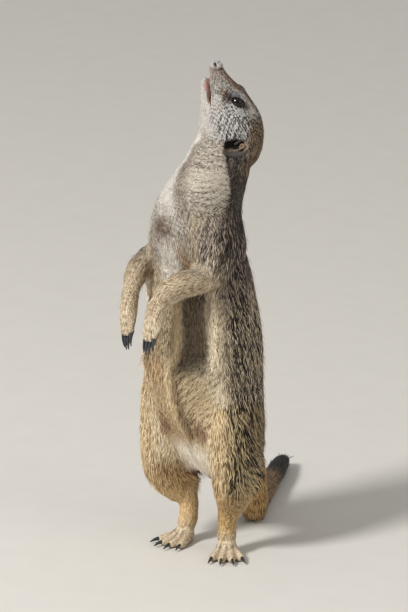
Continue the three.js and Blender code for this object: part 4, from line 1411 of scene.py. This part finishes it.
def hair_finish():
    """Guard hair: thin keratin shafts from pale to dark, shaded at the root and some of them dark at
    the tip, with a low satin gleam."""
    made, tree, surface = material("banded guard hair", Roughness=0.62, Specular_IOR_Level=0.25,
                                   Sheen_Weight=0.15, Sheen_Roughness=0.5)
    parts = add(tree, "ShaderNodeSeparateXYZ", None, Vector=attribute(tree, "strand", "Vector"))
    along, tone, ticked = parts.outputs
    shaded = colour_ramp(tree, along, [(0.0, (0.5, 0.5, 0.5, 1)), (0.45, (1, 1, 1, 1)), (1.0, (1, 1, 1, 1))])
    tip = add(tree, "ShaderNodeMapRange", {"interpolation_type": "SMOOTHSTEP"},
              Value=along, From_Min=0.62, From_Max=0.95)

    def product(first, second):
        return add(tree, "ShaderNodeMath", {"operation": "MULTIPLY"}, s0=first, s1=second).outputs[0]

    clear = add(tree, "ShaderNodeMath", {"operation": "SUBTRACT"}, s0=1.0,
                s1=product(tip.outputs[0], ticked))
    paleness = product(product(shaded, tone), clear.outputs[0])
    hair = colour_mix(tree, paleness, attribute(tree, "dark_hair"), attribute(tree, "pale_hair"))
    tree.links.new(hair, surface.inputs["Base Color"])
    return made


def hide_finish():
    """Hide under short velvet fur: matt, with the same pale and dark hairs as fine flecks, leaning to the
    dark hairs as painted shade under the coat, bare pink lips and dark leathery lids."""
    made, tree, surface = material("short velvet fur on hide", Roughness=0.7, Specular_IOR_Level=0.25)
    fleck = texture(tree, 1400.0, Detail=2.0)
    # flecks weighted towards the dark hair colour: painted shade under the coat
    spread = add(tree, "ShaderNodeMapRange", None, Value=fleck, From_Min=0.35, From_Max=0.65,
                 To_Min=0.12, To_Max=0.75)
    fur = colour_mix(tree, spread.outputs[0], attribute(tree, "dark_hair"), attribute(tree, "pale_hair"))
    whole = colour_mix(tree, attribute(tree, "bareness", "Fac"), fur, attribute(tree, "bare_skin"))
    tree.links.new(whole, surface.inputs["Base Color"])
    bumped(tree, surface, fleck, 0.6, 0.0003)
    return made


def dyed(tint, code, share):
    """The tint moved to the colour of that code by the share."""
    return tint + share * (linear(code) - tint)


def paint_skin(mesh, facts):
    """The attributes that the hide's material reads."""
    head = to_head(facts["points"])
    colour_attribute(mesh, "pale_hair", facts["colours"][:, :3])
    colour_attribute(mesh, "dark_hair", facts["colours"][:, 3:])
    pink, brown = (band[:, None] for band in lip_bands(head))
    bare = dyed(np.tile(linear("3a2c27"), (len(head), 1)), "87685a",
                np.maximum(facts["lips"][:, None], brown))
    bare = dyed(bare, "b08982", pink)
    # dark skin in the ear pits: painted shadow
    bare = dyed(bare, "261b17", ease(0.1, 0.45, ear_ovals(head))[:, None])
    bare = np.where(facts["points"][:, 2:] < SOLE_HEIGHT, linear("7a6250"), bare)
    colour_attribute(mesh, "bare_skin", bare)
    number_attribute(mesh, "bareness", facts["bare"])


# ---- eyes, ears, nose, tongue and claws ----
EYE_SIDES = 48


def grid_shell(rows):
    """A closed surface from rings of points: the first and last ring shrink to one point each."""
    count, sides = rows.shape[:2]
    points = np.vstack([rows[0].mean(0)[None], rows[1:-1].reshape(-1, 3), rows[-1].mean(0)[None]])
    return points, *tube_faces(count - 2, sides)


def outward(mesh):
    """Turns every face of a closed mesh outwards."""
    work = bmesh.new()
    work.from_mesh(mesh)
    bmesh.ops.recalc_face_normals(work, faces=work.faces)
    work.to_mesh(mesh)
    work.free()
    return mesh


def head_mesh(name, points, *faces):
    """A closed mesh from points in the head's own frame, with its faces turned outwards."""
    return outward(mesh_of(name, on_head(points), *faces))


def eye_finish():
    """A wet cornea over a very dark brown iris: almost black, with one clear highlight."""
    made, tree, surface = material("wet dark brown eye", Roughness=0.12, Specular_IOR_Level=0.25,
                                   IOR=1.376, Coat_Weight=0.45, Coat_Roughness=0.03)
    wobble = add(tree, "ShaderNodeMath", {"operation": "MULTIPLY_ADD"}, s0=texture(tree, 1800.0), s1=0.12,
                 s2=attribute(tree, "gaze_angle", "Fac"))
    stops = [(0.0, "030303"), (0.34, "050404"), (0.42, "1a100c"), (0.62, "221510"), (0.74, "0d0806"),
             (1.0, "060404")]
    iris = colour_ramp(tree, wobble.outputs[0], [(place, rgba(code)) for place, code in stops])
    tree.links.new(iris, surface.inputs["Base Color"])
    return made


def eye(side, name, made):
    """An eyeball: radius EYE_RADIUS at each angle from the gaze, swollen a little over the cornea."""
    centre, gaze, long_way, short_way = eye_frame(side)
    polar = np.linspace(0, np.pi, 40)
    turn = 2 * np.pi * np.arange(EYE_SIDES) / EYE_SIDES
    radius = EYE_RADIUS + 0.35 * hill(polar, 0, 0.6)
    rows = (np.cos(polar)[:, None, None] * gaze
            + np.sin(polar)[:, None, None] * (np.cos(turn)[None, :, None] * long_way
                                              + np.sin(turn)[None, :, None] * short_way))
    mesh = head_mesh(name, *grid_shell(centre + rows * radius[:, None, None]))
    number_attribute(mesh, "gaze_angle", np.concatenate([[0], np.repeat(polar[1:-1], EYE_SIDES), [np.pi]]))
    object_of(name, mesh, made, "eye_glass", name.replace("eyeball", "eye"))


def leather(name, rough, scale, codes=None):
    """Hairless skin with a pebbled grain, in soft patches: of two close tones, or of the piece's own
    tint a little paler and darker."""
    made, tree, surface = material(name, Roughness=rough, Specular_IOR_Level=0.4)
    patches = texture(tree, scale / 4)
    if codes:
        colour = colour_mix(tree, patches, rgba(codes[0]), rgba(codes[1]))
    else:
        uneven = add(tree, "ShaderNodeMapRange", None, Value=patches, From_Min=0.3, From_Max=0.7,
                     To_Min=0.75, To_Max=1.15)
        colour = add(tree, "ShaderNodeVectorMath", {"operation": "SCALE"}, s0=attribute(tree, "tint"),
                     Scale=uneven.outputs[0]).outputs[0]
    tree.links.new(colour, surface.inputs["Base Color"])
    bumped(tree, surface, texture(tree, scale, "ShaderNodeTexVoronoi"), 0.35, 0.00015)
    return made


NOSE = [[0, -12.6, 54, 4.9, 4.4], [0, -12.9, 56.5, 5.3, 4.7], [0, -12.9, 59, 5.2, 4.6],
        [0, -12.4, 61.4, 4.3, 3.9]]
NOSE_MIDDLE = np.array([0, -12.8, 55.5])
NOSTRIL = [  # three bells: middle, half-width and depth
    ([2.6, -13.9, 62.4], 1.4, 2.6), ([3.7, -13.9, 60.8], 1.35, 2.4), ([4.6, -13.4, 59.2], 1.0, 1.6),
]
TONGUE = [[0, -17.4, 25, 4.2, 1.4], [0, -18, 34, 4.6, 1.5], [0, -18.6, 43.5, 3.6, 1.2]]


def nose(made):
    """The bare nose pad: a short domed loft, parted in the middle, with two comma-shaped nostrils.
    Each nostril is three bells that push the surface in and darken it as painted shade, and the upper
    part of the pad is paler as a painted highlight."""
    points, quads, triangles = Limb("nose", NOSE, (1.5, 3.6), 0).shell(96, 72)
    outside = unit(points - NOSE_MIDDLE)
    depth = 0.3 * hill(points[:, 0], 0, 0.5) * ease(57.5, 60, points[:, 2])
    depth = depth - 0.45 * ripple(points, 3.4, 41) * ease(54, 57, points[:, 2])
    for place, width, deep in NOSTRIL:
        for s in (1, -1):
            away = np.linalg.norm(points - np.array(place) * [s, 1, 1], axis=1)
            depth += deep * np.exp(-((away / width) ** 4))
    # the upper part of the pad painted paler: painted highlight; the nostrils darkened: painted shade
    painted_highlight_top = ease(55.5, 60, points[:, 2] + 0.8 * ripple(points, 5, 42))[:, None]
    tint = dyed(dyed(linear("8c7b72"), "b4b0ad", painted_highlight_top), "0d0b0b", ease(0.5, 1.5, depth)[:, None])
    mesh = head_mesh("nose_pad", points - outside * depth[:, None], quads, triangles)
    colour_attribute(mesh, "tint", tint)
    object_of("nose_pad", mesh, made, "nose_leather", "nose")


GRISTLE = [  # ridges in the ear's hollow: their line (back, up), height, half-width and colour
    ([(6.2, 0.6), (2.8, -0.8), (-1.4, -1.6), (-3.4, -2.2)], 3.6, 0.9, "8f7c68"),
    ([(2.7, 0.6), (3.6, 2.6), (5.2, 2.6), (6, 0.8)], 3.4, 0.65, "9a8268"),
    ([(4, 1.2), (4.8, 1.2)], 2.6, 0.8, "7d5836"),
    ([(-0.4, 3.4), (2.2, 5), (5, 5.6)], 2.6, 0.8, "6d625b"),
    ([(-7, -1.2), (-3, -0.6)], 2.4, 1.9, "544a3b"),
]


def ear(side, name, made):
    """A small crescent ear. u runs from the middle of the hollow over the rim to the back, and the
    other way round is an oval; ridges of gristle stand inside the hollow, nearer its back."""
    opening = unit(np.array([side * 0.84, -0.14, 0.52]))
    long_way = unit(Y - opening * opening[1])
    short_way = np.cross(opening, long_way)
    short_way *= np.sign(short_way[2])
    turn = 2 * np.pi * np.arange(72) / 72
    u = np.linspace(0, 1, 56)[:, None]
    hollow = u < 0.5
    reach = np.sin(np.pi * u) ** np.where(hollow, 1.0, 0.6)
    lower = -np.sin(turn)
    a = reach * EAR_HALVES[0] * np.cos(turn)
    b = reach * EAR_HALVES[1] * np.sin(turn)
    deep = np.where(hollow, 5.0, 7.5) * -np.abs(np.cos(np.pi * u))
    rim = hill(u, 0.5, 0.1) * (0.4 + 1.6 * ease(-0.2, 0.8, lower))
    height = deep + rim + 1.5 * reach**2 * ease(-0.3, 0.9, lower)
    height = height + 3.2 * ease(-1.6, -3, b) * hollow * ease(0.5, 0.35, u)
    skin_behind = ease(4.6, 7, a) * hollow * ease(-4.5, -2.5, b)
    height = height + 2.2 * skin_behind * ease(0.5, 0.3, u)
    # black deep in the upper part of the hollow: painted shade
    dark = (ease(0.47, 0.4, u) * hollow * ease(-2.6, -1.2, b))[..., None]
    tint = dyed(dyed(linear("4d4643"), "0c0908", dark), "82705f", skin_behind[..., None])
    for line, tall, wide, code in GRISTLE:
        bump = np.exp(-((from_line(a, b, line) / wide) ** 2)) * hollow
        height = np.maximum(height, np.minimum(height, -1.4) + tall * bump)
        tint = dyed(tint, code, ease(0.3, 0.75, bump)[..., None])
    rows = (EAR_MIDDLE * [side, 1, 1] + a[..., None] * long_way + b[..., None] * short_way
            + height[..., None] * opening)
    mesh = head_mesh(name, *grid_shell(rows))
    colour_attribute(mesh, "tint", np.vstack([tint[0, :1], tint[1:-1].reshape(-1, 3), tint[-1, :1]]))
    object_of(name, mesh, made, "dark_coat", name.replace("earcup", "ear"))


def tongue(made):
    """The tip of the tongue behind the lips: a flat domed loft."""
    mesh = head_mesh("tongue_flesh", *Limb("tongue", TONGUE, (2, 2), 0).shell(32, 24))
    object_of("tongue_flesh", mesh, made, "mouth_flesh", "tongue")


def horn_finish():
    """Claw horn: layered keratin, blackish slate, with a satin polish."""
    made, tree, surface = material("slate black claw horn", Roughness=0.26, Specular_IOR_Level=0.7)
    coords = add(tree, "ShaderNodeTexCoord")
    stretched = add(tree, "ShaderNodeMapping", None, Vector=coords.outputs["Object"], Scale=(1, 1, 0.15))
    streak = add(tree, "ShaderNodeTexNoise", None, Vector=stretched.outputs[0], Scale=2200.0).outputs[0]
    horn = colour_mix(tree, streak, rgba("0f1216"), rgba("3a4048"))
    tree.links.new(horn, surface.inputs["Base Color"])
    bumped(tree, surface, streak, 0.25, 0.0001)
    return made


def claw(name, root, ahead, under, size, made):
    """A tapered hook: the centre goes ahead evenly and under by the square of the way, and the
    thickness falls to a fifth."""
    t = np.array([0, 0.25, 0.5, 0.75, 1.0])[:, None]
    centre = root + ahead * t * size["length"] + under * size["length"] * size["curl"] * t**2
    thick = size["thick"] * (1 - 0.8 * t**1.5)
    stations = np.hstack([centre, thick * 0.75, thick])
    across = unit(np.cross(ahead, under))
    hook = Limb(name, stations, (0.5, 0.6), 0, across=(across, across))
    points, quads, triangles = hook.shell(16, 20)
    points[:, 2] = np.maximum(points[:, 2], 0.02)
    mesh = mesh_of(name, points, quads, triangles)
    object_of(name, outward(mesh), made, "claw_horn", name.replace("horn", "claw"))


FLESH = ["trunk", "neck", "head", "jaw", "tail_base", "tail_middle", "tail_tip"] + [
    f"{part}_{side}" for side in ("left", "right")
    for part in ("upper_arm", "forearm", "hand", "thigh", "shank", "foot")]

stage()
camera()
skin, lips = skin_surface()
facts = dress(skin, lips)
paint_skin(skin.data, facts)
skin.data.materials.append(hide_finish())
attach(skin, "root")
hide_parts(*FLESH)
grow_coat(skin, facts, hair_finish())
eye_material = eye_finish()
ear_material = leather("thin dark ear skin", 0.8, 1500.0)
for side, hand in (("left", 1), ("right", -1)):
    eye(hand, f"eyeball_{side}", eye_material)
    ear(hand, f"earcup_{side}", ear_material)
nose(leather("moist nose leather", 0.3, 2600.0))
tongue(leather("wet pink mouth flesh", 0.25, 1600.0, ("b4746c", "c98f86")))
horn = horn_finish()
for side in ("left", "right"):
    for part, claws in (("hand", finger_limbs(side)[1]), ("foot", toe_limbs(side)[4])):
        for place, (root, ahead, under, size) in enumerate(claws, 1):
            claw(f"horn_{part}_{side}_{place}", root, ahead, under, size, horn)
